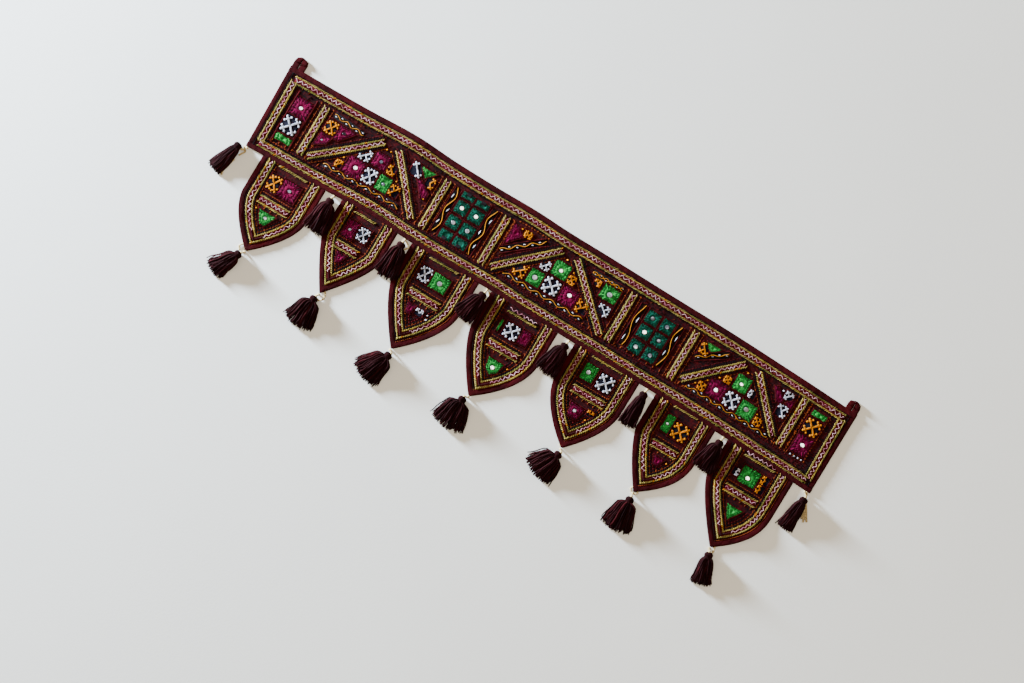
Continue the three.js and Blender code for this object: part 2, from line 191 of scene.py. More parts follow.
def side_x(pendant, side, y, inset):
    """Where a tongue's side (0 left, 1 right) stands at a height, moved in by an inset."""
    tip_y = BAND_FOOT - pendant["length"]
    closing_y = BAND_FOOT - pendant["close"]
    reach = (pendant["left"], pendant["right"])[side] - pendant["tip"]
    roundness = pendant["rounds"][side]
    depth = np.clip((closing_y - y) / (closing_y - tip_y), 0, 1)
    slope = abs(reach) * roundness * depth ** (roundness - 1) / (closing_y - tip_y)
    inward = np.sign(reach) * inset * np.hypot(1, slope)
    return pendant["tip"] + reach * (1 - depth**roundness) - inward


def meeting_y(pendant, left_inset, right_inset):
    """The height at which two inset side lines meet."""
    low = BAND_FOOT - pendant["length"]
    high = BAND_FOOT - pendant["close"]
    for _ in range(40):
        middle = (low + high) / 2
        if side_x(pendant, 0, middle, left_inset) > side_x(pendant, 1, middle, right_inset):
            low = middle
        else:
            high = middle
    return high


def side_line(pendant, side, inset, other, top=BAND_FOOT - 1):
    """A line down one side of a tongue to where it meets the other side's line."""
    insets = (inset, other) if side == 0 else (other, inset)
    y = np.linspace(top, meeting_y(pendant, *insets), SIDE_STATIONS)
    return np.column_stack([side_x(pendant, side, y, inset), y])


# Dyes


def dye(red, green, blue):
    """A colour as it shows, as linear light."""
    shown = np.array([red, green, blue]) / 255
    return np.where(shown <= 0.04045, shown / 12.92, ((shown + 0.055) / 1.055) ** 2.4)


GOLD = dye(160, 140, 72)
OLIVE = dye(126, 118, 54)
YELLOW = dye(178, 152, 68)
AMBER = dye(190, 120, 30)
PINK = dye(210, 160, 172)
ROSE = dye(174, 104, 122)
CRIMSON = dye(76, 5, 16)
MAGENTA = dye(99, 1, 47)
WHITE = dye(206, 206, 222)
NAVY = dye(16, 14, 30)
ORANGE = dye(204, 122, 12)
GREEN = dye(40, 134, 54)
DARK_GREEN = dye(8, 72, 56)
DARK_RED = dye(72, 10, 14)
RUST = dye(124, 54, 24)
BLACK = dye(16, 9, 12)
MAROON = dye(46, 10, 14)
YARN = dye(33, 6, 9)
YARN_RED = dye(48, 9, 13)
CREAM = dye(222, 196, 146)
# Mirror glass: one glass whose base colour is made lighter or darker per mirror, a painted reflection of how
# brightly it shines
GLASS_BRIGHT_PAINTED_REFLECTION = dye(255, 255, 255)
GLASS_GREY_PAINTED_REFLECTION = dye(150, 152, 162)
GLASS_DULL_PAINTED_REFLECTION = dye(92, 96, 110)
GLASS_DARK_PAINTED_REFLECTION = dye(30, 24, 34)

chance = np.random.default_rng(31)


def shades(colour, count, amount=0.16):
    """A dye for each of many stitches, some lighter and some darker."""
    return colour * np.exp(chance.normal(0, amount, (count, 1)))


# Threads, laid by the hundred


ROUND = np.array([[-1, 0], [0, 1], [1, 0], [0, -0.7]])
FLAT = np.array([[-1, -0.5], [-0.86, 0.8], [0, 1], [0.86, 0.8], [1, -0.5], [0, -0.6]])
STITCH_TAPER = np.array([0.55, 1, 0.55])
SATIN_TAPER = np.array([0.5, 1, 1, 0.5])


def unit(vectors):
    return vectors / (np.linalg.norm(vectors, axis=-1, keepdims=True) + 1e-9)


class Threads:
    """Threads and stitches gathered for one piece, then joined as one mesh."""

    def __init__(self):
        self.points = []
        self.quads = []
        self.dyes = []
        self.plies = []
        self.count = 0

    def lay(self, paths, half_width, half_height, colour, taper=1, up=(0, 0, 1), ring=ROUND, heading=None):
        """Threads along paths, each with the same number of stations."""
        paths = np.asarray(paths, float)
        number, stations = paths.shape[:2]
        sides = len(ring)
        along = unit(np.gradient(paths, axis=1))
        if heading is not None:
            along = np.broadcast_to(np.asarray(heading, float), paths.shape)
        side = unit(np.cross(along, np.broadcast_to(up, paths.shape)))
        top = np.cross(side, along)
        wide = np.broadcast_to(half_width * taper, (number, stations))[..., None, None]
        high = np.broadcast_to(half_height * taper, (number, stations))[..., None, None]
        spread = side[:, :, None] * wide * ring[:, :1] + top[:, :, None] * high * ring[:, 1:]
        self.points.append((paths[:, :, None] + spread).reshape(-1, 3))
        self.join(number, stations, sides)
        colour = np.asarray(colour, float)
        if colour.ndim == 2:
            colour = colour[:, None]
        colour = np.broadcast_to(colour, (number, stations, 3))
        self.dyes.append(np.repeat(colour.reshape(-1, 3), sides, axis=0))
        steps = np.linalg.norm(np.diff(paths, axis=1), axis=2)
        run = np.concatenate([np.zeros((number, 1)), np.cumsum(steps, axis=1)], axis=1)
        run = run + chance.uniform(0, 9, (number, 1))
        around = np.tile(np.arange(sides) / sides, number * stations)
        self.plies.append(np.column_stack([np.repeat(run.ravel(), sides), around]))

    def join(self, number, stations, sides):
        start = self.count + np.arange(number)[:, None, None] * stations * sides
        here = start + np.arange(stations - 1)[:, None] * sides + np.arange(sides)
        turn = start + np.arange(stations - 1)[:, None] * sides + (np.arange(sides) + 1) % sides
        walls = np.stack([here, turn, turn + sides, here + sides], axis=-1)
        self.quads.append(walls.reshape(-1, 4))
        for first in range(1, sides - 1, 2):
            cap = np.array([0, first, first + 1, first + 2])
            self.quads.append(start[:, 0] + cap[::-1])
            self.quads.append(start[:, 0] + (stations - 1) * sides + cap)
        self.count += number * stations * sides

    def stitches(self, starts, ends, half_width, colour, level=0, half_height=None, taper=None):
        """Single stitches between pairs of places on the cloth, their ends pulled down."""
        taper = STITCH_TAPER if taper is None else taper
        share = np.linspace(0, 1, len(taper))[:, None]
        flat = np.asarray(starts)[:, None] * (1 - share) + np.asarray(ends)[:, None] * share
        high = half_width * 0.8 if half_height is None else half_height
        arch = level + high * (1.15 * np.sin(np.pi * share[:, 0]) - 0.35)
        z = ground(flat[..., 0], flat[..., 1]) + arch
        self.lay(np.concatenate([flat, z[..., None]], axis=2), half_width, high, colour, taper)

    def run(self, flat, half_width, half_height, colour, level=0.2, ring=ROUND, heading=None):
        """One long thread or ribbon that follows a line on the cloth."""
        flat = np.asarray(flat, float)
        z = ground(flat[:, 0], flat[:, 1]) + level
        path = np.column_stack([flat, z])[None]
        colour = np.asarray(colour)
        colour = colour[None] if colour.ndim == 2 else colour
        self.lay(path, half_width, half_height, colour, ring=ring, heading=heading)

    def made(self, name, material, slot, replaces=(), placed=lie):
        """The gathered threads as one piece."""
        mesh = bpy.data.meshes.new(name)
        points = placed(np.concatenate(self.points))
        mesh.from_pydata(points.tolist(), [], np.concatenate(self.quads).tolist())
        shown = mesh.attributes.new("dye", "FLOAT_COLOR", "POINT")
        colours = np.column_stack([np.concatenate(self.dyes), np.ones(self.count)])
        shown.data.foreach_set("color", colours.ravel())
        ply = mesh.attributes.new("ply", "FLOAT_VECTOR", "POINT")
        plies = np.column_stack([np.concatenate(self.plies), np.zeros(self.count)])
        ply.data.foreach_set("vector", plies.ravel())
        mesh.shade_smooth()
        piece = bpy.data.objects.new(name, mesh)
        bpy.context.scene.collection.objects.link(piece)
        return settled(piece, material, replaces)


def settled(piece, material, replaces=()):
    """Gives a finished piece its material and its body."""
    piece.data.materials.clear()
    piece.data.materials.append(material)
    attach(piece, "root")
    if replaces:
        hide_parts(*replaces)
    piece.select_set(False)
    return piece


# Lines that stitches follow


def along_line(line, at, run):
    """Places at distances along a line whose own points stand at the distances in run."""
    return np.column_stack([np.interp(at, run, part) for part in np.asarray(line, float).T])


def distances(line):
    """How far each point of a line is from its start."""
    steps = np.linalg.norm(np.diff(line, axis=0), axis=1)
    return np.concatenate([[0], np.cumsum(steps)])


def evenly(line, pitch):
    """Places at an even pitch along a line, with the direction at each."""
    line = np.asarray(line, float)
    run = distances(line)
    count = max(2, int(run[-1] / pitch) + 1)
    at = np.linspace(0, run[-1], count)
    places = along_line(line, at, run)
    return places, unit(np.gradient(places, axis=0)), at


def turned(directions, degrees):
    angle = np.radians(degrees)
    cos, sin = np.cos(angle), np.sin(angle)
    x = directions[:, 0] * cos - directions[:, 1] * sin
    y = directions[:, 0] * sin + directions[:, 1] * cos
    return np.column_stack([x, y])


def straight(first, second):
    return np.linspace(first, second, 40)


def slow_change(at, seed):
    """A steady wander between about -1 and 1 along a line."""
    return np.sin(at * 0.031 + seed) * 0.6 + np.sin(at * 0.083 + seed * 2.3) * 0.4


GOLD_ROW_HALF = 1.8


def gold_row(threads, line, seed):
    """A corded row: slanted bars of two threads over a dark ground that shows between them."""
    places, along, at = evenly(line, 3.3)
    threads.run(places, GOLD_ROW_HALF + 0.5, 0.3, BLACK, 0.05, ring=FLAT)
    wander = slow_change(at, seed)[:, None]
    tone = np.where(wander > 0.5, YELLOW, np.where(wander < -0.55, OLIVE, GOLD))
    odd = chance.uniform(0, 1, len(at))[:, None]
    tone = np.where(odd > 0.965, AMBER, tone)
    slant = turned(along, 42 + chance.normal(0, 6, len(at)))
    reach = (GOLD_ROW_HALF + 0.7) * chance.normal(1, 0.1, (len(at), 1))
    for shift in (-0.5, 0.5):
        middle = places + along * shift + chance.normal(0, 0.12, (len(at), 2))
        colour = tone * np.exp(chance.normal(0, 0.17, (len(at), 1)))
        threads.stitches(middle - slant * reach, middle + slant * reach, 0.54, colour, 0.45, 0.68)


def zigzag(threads, line, seed, half=1.95, period=8.3):
    """A pink thread that swings from side to side between two corded rows."""
    places, along, at = evenly(line, period / 8)
    across = turned(along, 90)
    phase = at * 2 * np.pi / period + 1.5 * slow_change(at * 2.2, seed)
    swing = np.sin(phase) - np.sin(3 * phase) / 9
    arched = np.abs(np.sin(phase / 2)) * 2 - 1.2
    swing = np.where(slow_change(at, seed + 4) > 0.3, arched, swing)
    swing = swing * half * (1 + 0.3 * slow_change(at * 5, seed + 1))
    pale = 0.5 + 0.5 * np.sin(at * 0.11 + seed)[:, None]
    tone = ROSE + (PINK - ROSE) * np.clip(pale * 1.6, 0, 1)
    tone = tone * np.exp(0.25 * np.sin(at * 1.9 + seed))[:, None]
    threads.run(places + across * swing[:, None], 0.5, 0.65, tone, 0.75)


def strip(threads, line, rows, seed):
    """Crimson ground with a zigzag down the middle and a corded row at each side."""
    places, along, _ = evenly(line, 4)
    across = turned(along, 90)
    threads.run(places, rows, 0.55, CRIMSON, 0.1, ring=FLAT)
    zigzag(threads, line, seed)
    gold_row(threads, places + across * rows, seed)
    gold_row(threads, places - across * rows, seed + 3)


def chain(threads, line, colour=DARK_RED, half=0.95, pitch=2.3, level=0.1):
    """A row of chain stitch."""
    places, along, _ = evenly(line, pitch)
    ends = places + along * pitch * 0.62
    threads.stitches(places - along * pitch * 0.62, ends, half, shades(colour, len(ends)), level)


def running(threads, line, colour=RUST, half=0.75, pitch=5.2, filled=0.66):
    """Running stitch: short stitches with gaps."""
    places, along, _ = evenly(line, pitch)
    places = places + along * chance.normal(0, 0.3, (len(places), 1))
    reach = along * pitch * filled / 2
    threads.stitches(places - reach, places + reach, half, shades(colour, len(places)), 0.1)


def ticks(threads, line, colour=RUST, half=0.75, spacing=11.5, length=5.5, degrees=82, level=0.1):
    """Short stitches that stand beside one another along a line."""
    places, along, _ = evenly(line, spacing)
    reach = turned(along, degrees + chance.normal(0, 7, len(places))) * length / 2
    reach = reach * chance.normal(1, 0.12, (len(places), 1))
    threads.stitches(places - reach, places + reach, half, shades(colour, len(places), 0.22), level)


def wave(threads, line, period, half, phase, dashes=True):
    """A couched cord that waves along black ground, white stitches in its hollows."""
    places, along, at = evenly(line, 1.6)
    across = turned(along, 90)
    turn = at * 2 * np.pi / period + phase
    path = places + across * (np.sin(turn) * half)[:, None]
    tone = AMBER * np.exp(0.2 * np.sin(at * 1.3))[:, None]
    threads.run(path, 0.56, 0.62, tone * 0.82, 0.7)
    if dashes:
        hollows = (np.pi * (np.arange(0, 60) + 0.5) - phase) * period / (2 * np.pi)
        hollows = hollows[(hollows > at[0]) & (hollows < at[-1])]
        middle = along_line(places, hollows, at)
        side = -np.sign(np.sin(hollows * 2 * np.pi / period + phase))[:, None]
        heading = np.repeat(along[:1], len(hollows), axis=0)
        middle = middle + turned(heading, 90) * side * half * 0.75
        reach = turned(heading, chance.normal(-8, 9, len(hollows))) * period * 0.078
        threads.stitches(middle - reach, middle + reach, 0.7, shades(WHITE, len(reach), 0.1), 0.5)


# Motifs inside their frames


def box_corners(left, right, low, high):
    return from_photo([left, right, right, left], [low, low, high, high])


def reach_to_edge(corners, centre, directions):
    """How far a convex outline is from a place inside it, in each direction."""
    nearest = np.full(len(directions), 1e9)
    for first, second in zip(corners, np.roll(corners, -1, axis=0)):
        edge = second - first
        offset = first - centre
        facing = directions[:, 0] * edge[1] - directions[:, 1] * edge[0]
        with np.errstate(divide="ignore", invalid="ignore"):
            away = (offset[0] * edge[1] - offset[1] * edge[0]) / facing
            along = (offset[0] * directions[:, 1] - offset[1] * directions[:, 0]) / facing
        hit = (np.abs(facing) > 1e-9) & (away > 0) & (along > -0.01) & (along < 1.01)
        nearest = np.where(hit, np.minimum(nearest, away), nearest)
    return np.where(nearest > 1e8, 0.5, nearest)


def pad(threads, corners, colour, height=0.5):
    """A low filled patch with a convex outline."""
    x = corners[:, 0]
    stations = np.linspace(x.min() + 0.05, x.max() - 0.05, 9)
    spans = []
    for at in stations:
        crossings = []
        for first, second in zip(corners, np.roll(corners, -1, axis=0)):
            low, high = sorted([first[0], second[0]])
            if low <= at <= high and high - low > 1e-6:
                share = (at - first[0]) / (second[0] - first[0])
                crossings.append(first[1] + share * (second[1] - first[1]))
        spans.append((min(crossings), max(crossings)))
    spans = np.array(spans)
    half = np.maximum((spans[:, 1] - spans[:, 0]) / 2, 0.2)
    line = np.column_stack([stations, spans.mean(axis=1)])
    threads.run(line, half, height, colour, 0.1, ring=FLAT, heading=(1, 0, 0))


def framed(threads, corners):
    """Chain stitch round a motif, just outside it."""
    centre = corners.mean(axis=0)
    outside = centre + (corners - centre) * 1.09
    for first, second in zip(outside, np.roll(outside, -1, axis=0)):
        chain(threads, straight(first, second))


def radial(threads, corners, colour, centre, hole, spokes=34):
    """Satin stitches that run from a middle to the frame, in two rounds, with dark stitches
    from the frame inwards between them."""
    centre = corners.mean(axis=0) if centre is None else np.asarray(centre)
    # The pad under the satin is the stitches' own dye made darker: painted shade in the gaps between the
    # stitches.
    pad(threads, corners, colour * 0.7, 0.45)
    angle = np.linspace(0, 2 * np.pi, spokes, endpoint=False) + chance.normal(0, 0.03, spokes)
    out = np.column_stack([np.cos(angle), np.sin(angle)])
    edge = reach_to_edge(corners, centre, out)[:, None] * chance.normal(1, 0.035, (spokes, 1))
    inner = np.minimum(hole, edge * 0.5)
    middle = inner + (edge - inner) * chance.uniform(0.42, 0.6, (spokes, 1))
    wide = np.clip(edge[:, :1] * np.pi / spokes * 0.9, 0.6, 1.2)
    outer = (centre + out * middle * 0.92, centre + out * edge)
    inside = (centre + out * inner, centre + out * (middle + 0.8))
    threads.stitches(*outer, wide, shades(colour, spokes, 0.14), 0.45, 0.42, SATIN_TAPER)
    threads.stitches(*inside, wide * 0.9, shades(colour, spokes, 0.14), 0.6, 0.42, SATIN_TAPER)
    gaps = (angle + np.pi / spokes)[::2] + chance.normal(0, 0.04, len(angle[::2]))
    out = np.column_stack([np.cos(gaps), np.sin(gaps)])
    edge = reach_to_edge(corners, centre, out)[:, None]
    low = centre + out * edge * chance.uniform(0.5, 0.72, (len(gaps), 1))
    high = centre + out * edge * 1.01
    dark = BLACK + colour * 0.04
    threads.stitches(low, high, 0.5, shades(dark, len(low), 0.3), 0.8, 0.4)
    framed(threads, corners)


CROSS_ARMS = [(1, 1), (-1, 1), (-1, -1), (1, -1)]
ALL_ARMS = (0, 1, 2, 3)


def cross(threads, row):
    """A diagonal cross whose arms each end in a small cross, with a knot at every end."""
    corners = box_corners(*row["u"], *row["v"])
    colour = row["dye"]
    pad(threads, corners, NAVY, 0.35)
    centre = corners.mean(axis=0)
    half = (corners.max(axis=0) - corners.min(axis=0)) / 2
    heavy = np.clip(half.mean() / 13, 0.72, 1)
    for arm in row.get("arms", ALL_ARMS):
        way = np.array(CROSS_ARMS[arm]) * half * chance.uniform(0.94, 1.04)
        side = np.array([-way[1], way[0]])
        tip = centre + way * 0.8
        knot = centre + way * chance.uniform(0.56, 0.62)
        bars = [
            (centre - way * 0.08, tip),
            (knot - side * 0.26, knot + side * 0.26),
        ]
        for first, second in bars:
            nudge = unit(np.array([first[1] - second[1], second[0] - first[0]])) * 0.55 * heavy
            starts = np.array([first - nudge, first + nudge])
            ends = np.array([second - nudge, second + nudge])
            tones = shades(colour, 2, 0.12)
            threads.stitches(starts, ends, 0.88 * heavy, tones, 0.55, 0.7, SATIN_TAPER)
        knots = np.array([tip - way * 0.04, knot - side * 0.27, knot + side * 0.27])
        lead = unit(way) * 1.7 * heavy
        threads.stitches(knots - lead, knots + lead, 2.1 * heavy, shades(colour, 3, 0.09), 0.6, 0.8)
    framed(threads, corners)


def small_knot(threads, u, v, colour):
    at = from_photo(u, v)[None]
    reach = np.array([[1.3, 0.5]])
    threads.stitches(at - reach, at + reach, 1.3, shades(colour, 1), 0.35, 0.9)


# Cloth, bindings and tapes


def grid_piece(name, columns, rows, place):
    """A grid of cloth, each point put where place(u, v) says, u and v from 0 to 1."""
    bpy.ops.object.select_all(action="DESELECT")
    bpy.ops.mesh.primitive_grid_add(x_subdivisions=columns, y_subdivisions=rows, size=1)
    piece = bpy.context.object
    piece.name = name
    mesh = piece.data
    points = np.zeros(len(mesh.vertices) * 3)
    mesh.vertices.foreach_get("co", points)
    points = points.reshape(-1, 3) + 0.5
    flat = place(np.clip(points[:, 0], 0, 1), np.clip(points[:, 1], 0, 1))
    mesh.vertices.foreach_set("co", lie(flat).ravel())
    mesh.update()
    return piece


def tidied(piece, outward=True):
    """Merges what meets and turns the faces outwards."""
    bpy.context.view_layer.objects.active = piece
    piece.select_set(True)
    bpy.ops.object.mode_set(mode="EDIT")
    bpy.ops.mesh.select_all(action="SELECT")
    bpy.ops.mesh.remove_doubles(threshold=0.00002)
    if outward:
        bpy.ops.mesh.normals_make_consistent(inside=False)
    bpy.ops.object.mode_set(mode="OBJECT")
    bpy.ops.object.shade_smooth()


def thickened(piece, thickness):
    """Gives a sheet its thickness, downwards from its face."""
    solid = piece.modifiers.new("thickness", "SOLIDIFY")
    solid.thickness = thickness / 1000
    solid.offset = -1
    bpy.context.view_layer.objects.active = piece
    bpy.ops.object.modifier_apply(modifier=solid.name)


def sheet_piece(name, columns, rows, place, node):
    piece = grid_piece(name, columns, rows, place)
    tidied(piece, outward=False)
    thickened(piece, CLOTH_THICKNESS)
    return settled(piece, GROUND_CLOTH, [node])


def folded_strip(node, ending, lines, stations, thickness=BINDING_THICKNESS, puff=None):
    """A strip folded flat over an edge, puffed a little, with rounded sides, and closed into a
    tube round its outer and inner line. puff(flat) raises its top."""
    around = 16
    shares = np.linspace(0, 1, len(lines[0]))

    def place(u, v):
        outer, inner = [along_line(line, u, shares) for line in lines]
        angle = v * 2 * np.pi
        across = 0.5 - 0.5 * np.sign(np.cos(angle)) * np.abs(np.cos(angle)) ** 0.75
        height = np.sign(np.sin(angle)) * np.abs(np.sin(angle)) ** 0.6
        flat = outer + (inner - outer) * across[:, None]
        crumple = 0.22 * np.sin(flat[:, 0] * 0.5 + flat[:, 1] * 0.37) * np.sin(flat[:, 1] * 0.31)
        crumple += 0.12 * np.sin(flat[:, 0] * 1.3 + flat[:, 1] * 1.1)
        raised = crumple + puff(flat) if puff else crumple
        z = thickness / 2 + height * (thickness / 2 + np.where(height > 0, raised, 0))
        return np.column_stack([flat, z])

    piece = grid_piece(f"{node}_{ending}", stations, around, place)
    tidied(piece)
    bpy.ops.object.mode_set(mode="EDIT")
    bpy.ops.mesh.select_all(action="SELECT")
    bpy.ops.mesh.fill_holes(sides=around)
    bpy.ops.mesh.normals_make_consistent(inside=False)
    bpy.ops.object.mode_set(mode="OBJECT")
    return settled(piece, BINDING_COTTON, [node])


# Material maths


class Wire:
    """A number on its way through a material."""

    def __init__(self, finish, socket):
        self.finish = finish
        self.socket = socket

    def maths(self, operation, first, second=0.0):
        made = self.finish.node("ShaderNodeMath", {"operation": operation}, {0: first, 1: second})
        return Wire(self.finish, made.outputs[0])

    def __add__(self, other):
        return self.maths("ADD", self, other)

    def __radd__(self, other):
        return self.maths("ADD", other, self)

    def __sub__(self, other):
        return self.maths("SUBTRACT", self, other)

    def __rsub__(self, other):
        return self.maths("SUBTRACT", other, self)

    def __mul__(self, other):
        return self.maths("MULTIPLY", self, other)

    def __rmul__(self, other):
        return self.maths("MULTIPLY", other, self)

    def sine(self):
        return self.maths("SINE", self)


class Finish:
    """A material built up from nodes."""

    def __init__(self, name, roughness, metallic=0.0):
        self.material = bpy.data.materials.new(name)
        self.material.use_nodes = True
        self.tree = self.material.node_tree
        self.shader = self.tree.nodes["Principled BSDF"]
        self.shader.inputs["Roughness"].default_value = roughness
        self.shader.inputs["Metallic"].default_value = metallic
        self.shader.inputs["Specular IOR Level"].default_value = 0.04

    def node(self, kind, settings=None, values=None):
        made = self.tree.nodes.new(kind)
        for name, setting in (settings or {}).items():
            if name == "stops":
                self.set_stops(made.color_ramp, setting)
            else:
                setattr(made, name, setting)
        for name, value in (values or {}).items():
            self.feed(made.inputs[name], value)
        return made

    def set_stops(self, ramp, stops):
        while len(ramp.elements) < len(stops):
            ramp.elements.new(1)
        for element, (place, colour) in zip(ramp.elements, stops):
            element.position = place
            element.color = (*colour, 1)

    def feed(self, socket, value):
        if isinstance(value, Wire):
            value = value.socket
        if isinstance(value, bpy.types.NodeSocket):
            self.tree.links.new(value, socket)
        else:
            socket.default_value = value

    def places(self):
        return self.node("ShaderNodeTexCoord").outputs["Object"]

    def attribute(self, name):
        return self.node("ShaderNodeAttribute", {"attribute_name": name})

    def split(self, vector):
        made = self.node("ShaderNodeSeparateXYZ", values={0: vector})
        return [Wire(self, made.outputs[i]) for i in range(3)]

    def noise(self, scale, detail=2.0, vector=None):
        values = {"Vector": vector or self.places(), "Scale": scale, "Detail": detail}
        return Wire(self, self.node("ShaderNodeTexNoise", values=values).outputs["Fac"])

    def stretched(self, scale, turn=0.0):
        """Object places stretched, for a grain that runs one way."""
        values = {"Vector": self.places(), "Scale": scale, "Rotation": (0, 0, turn)}
        return self.node("ShaderNodeMapping", values=values).outputs[0]

    def ramp(self, factor, stops):
        made = self.node("ShaderNodeValToRGB", {"stops": stops}, {0: factor})
        return made.outputs["Color"]

    def mixed(self, factor, first, second, blend="MIX"):
        settings = {"data_type": "RGBA", "blend_type": blend}
        made = self.node("ShaderNodeMix", settings, {0: factor, 6: first, 7: second})
        return made.outputs[2]

    def coloured(self, colour):
        self.feed(self.shader.inputs["Base Color"], colour)

    def bumped(self, height, distance):
        values = {"Height": height, "Distance": distance, "Strength": 1.0}
        bump = self.node("ShaderNodeBump", values=values)
        self.feed(self.shader.inputs["Normal"], bump.outputs["Normal"])


def rgba(colour):
    return (*[float(part) for part in colour], 1)


def thread_finish(name, ply_pitch, fuzz):
    """Spun thread: its own dye, twisted plies with painted shade in the hollows between them and a faint
    painted highlight on their crests, and a little fuzz.
    """
    finish = Finish(name, 0.72)
    along, around, _ = finish.split(finish.attribute("ply").outputs["Vector"])
    twist = ((along * (2 * math.pi / ply_pitch)) + around * (2 * math.pi)).sine()
    grain = finish.noise(900)
    patchy = finish.noise(55, 3)
    worn = finish.ramp(grain * 0.6 + patchy * 0.4, [(0.3, (0.55,) * 3), (0.7, (1.25,) * 3)])
    dyed = finish.mixed(1.0, finish.attribute("dye").outputs["Color"], worn, "MULTIPLY")
    # Painted shade and highlight: the colour darkens in the hollows between plies and lightens a little on
    # their crests.
    ply_hollow_shade = finish.ramp(twist * 0.5 + 0.5, [(0, (0.62,) * 3), (0.5, (1.05,) * 3)])
    finish.coloured(finish.mixed(1.0, dyed, ply_hollow_shade, "MULTIPLY"))
    finish.bumped(twist * 0.6 + grain * fuzz, 0.0004)
    return finish.material


def ground_finish():
    """Dark red cotton darned all over with maroon and black, with weave between."""
    finish = Finish("darned_ground_cloth", 0.9)
    rows = finish.noise(1.0, 3, finish.stretched((160, 420, 300), 0.1))
    slanted = finish.noise(1.0, 2, finish.stretched((420, 130, 300), -0.5))
    patches = finish.noise(38, 2)
    mottled = finish.ramp(
        rows * 0.45 + slanted * 0.3 + patches * 0.25,
        [(0.4, tuple(BLACK)), (0.5, tuple(MAROON * 0.8)), (0.66, tuple(DARK_RED * 0.9))],
    )
    x, y, _ = finish.split(finish.places())
    weft = (x * 5200).sine()
    warp = (y * 5200).sine()
    weave = weft * warp
    finish.coloured(finish.mixed(weave * 0.14 + 0.14, mottled, rgba(BLACK * 0.5)))
    finish.bumped(weave * 0.3 + rows * 1.1 + slanted * 0.7, 0.0006)
    return finish.material


def cotton_finish():
    """Plain maroon cotton, a little faded where it is handled."""
    finish = Finish("plain_maroon_cotton", 0.88)
    x, y, _ = finish.split(finish.places())
    wander = finish.noise(300) * 2.4
    weft = (x * 7400 + wander).sine()
    warp = (y * 7400 + wander).sine()
    weave = weft * warp
    patches = finish.noise(26, 4)
    cloth = finish.ramp(
        patches,
        [(0.3, tuple(dye(36, 2, 5))), (0.55, tuple(dye(49, 3, 7))), (0.75, tuple(dye(61, 6, 10)))],
    )
    slub = finish.noise(1.0, 2, finish.stretched((90, 1400, 400)))
    finish.coloured(finish.mixed(weave * 0.12 + slub * 0.2, cloth, rgba(dye(26, 3, 6))))
    creases = finish.noise(1.0, 2, finish.stretched((130, 260, 200), 0.4))
    finish.bumped(weave * 0.25 + slub * 0.3 + creases * 2.2, 0.0006)
    return finish.material


def glass_finish():
    """Old mirror glass, slightly worn, its colour from each mirror's painted reflection."""
    finish = Finish("worn_mirror_glass", 0.16, 0.6)
    finish.shader.inputs["Specular IOR Level"].default_value = 0.7
    worn = finish.ramp(finish.noise(420, 3), [(0.35, (0.6,) * 3), (0.6, (1.0,) * 3)])
    finish.coloured(finish.mixed(1.0, finish.attribute("dye").outputs["Color"], worn, "MULTIPLY"))
    finish.bumped(finish.noise(700), 0.0002)
    return finish.material


def floor_finish():
    finish = Finish("pale_floor", 0.8)
    finish.shader.inputs["Specular IOR Level"].default_value = 0.2
    tint = finish.ramp(finish.noise(3, 2), [(0.3, (0.85, 0.85, 0.84)), (0.7, (0.88, 0.88, 0.87))])
    finish.coloured(tint)
    finish.bumped(finish.noise(350, 2), 0.0001)
    return finish.material


EMBROIDERY_THREAD = thread_finish("embroidery_thread", 1.5, 0.5)
YARN_THREAD = thread_finish("tassel_yarn", 2.2, 0.9)
TIE_THREAD = thread_finish("cream_cotton_thread", 1.7, 0.6)
GROUND_CLOTH = ground_finish()
BINDING_COTTON = cotton_finish()
MIRROR_GLASS = glass_finish()


# The band


def band_cloth():
    left = LEFT_END + TUCK
    width = RIGHT_END - LEFT_END - 2 * TUCK
    foot = BAND_FOOT + TUCK
    height = BAND_TOP - BAND_FOOT - 2 * TUCK

    def place(u, v):
        x = left + u * width
        y = foot + v * height
        return np.column_stack([x, y, ground(x, y)])

    return sheet_piece("band_cloth", 290, 38, place, "band_panel")


def band_bindings():
    """The strips along the top and the foot, and the two ends between them."""
    inner_top = BAND_TOP - BINDING_WIDTH
    inner_foot = BAND_FOOT + BINDING_WIDTH
    made = []
    for side, outer, inner in [("top", BAND_TOP, inner_top), ("bottom", BAND_FOOT, inner_foot)]:
        lines = [[(LEFT_END, y), (RIGHT_END, y)] for y in (outer, inner)]
        made.append(folded_strip(f"band_binding_{side}", "cotton", lines, 360))
    for side, outer, inward in [("left", LEFT_END, BINDING_WIDTH), ("right", RIGHT_END, -BINDING_WIDTH)]:
        lines = [[(x, inner_foot), (x, inner_top)] for x in (outer, outer + inward)]
        made.append(folded_strip(f"band_binding_{side}", "cotton", lines, 46))
    return made


def four_sides(left, right, foot, top):
    """The lines along the top, the foot, the left and the right of a box."""
    return [
        straight((left, top), (right, top)),
        straight((left, foot), (right, foot)),
        straight((left, foot), (left, top)),
        straight((right, foot), (right, top)),
    ]


def seam_stitches(threads):
    """Dark stitches that hold the bindings down along their inner edges."""
    inset = BINDING_WIDTH + 0.3
    for line in four_sides(LEFT_END + inset, RIGHT_END - inset, BAND_FOOT + inset, BAND_TOP - inset):
        chain(threads, line, BLACK, 0.7, 3.4, 0.3)


# Where the two corded rows of the border run on each side, in from the band's edge
BORDER_ROWS = dict(top=(10.7, 20.7), foot=(9.7, 18.9), left=(12.2, 20.8), right=(10.7, 20.5))
BORDER_TICKS_INSET = 7.4


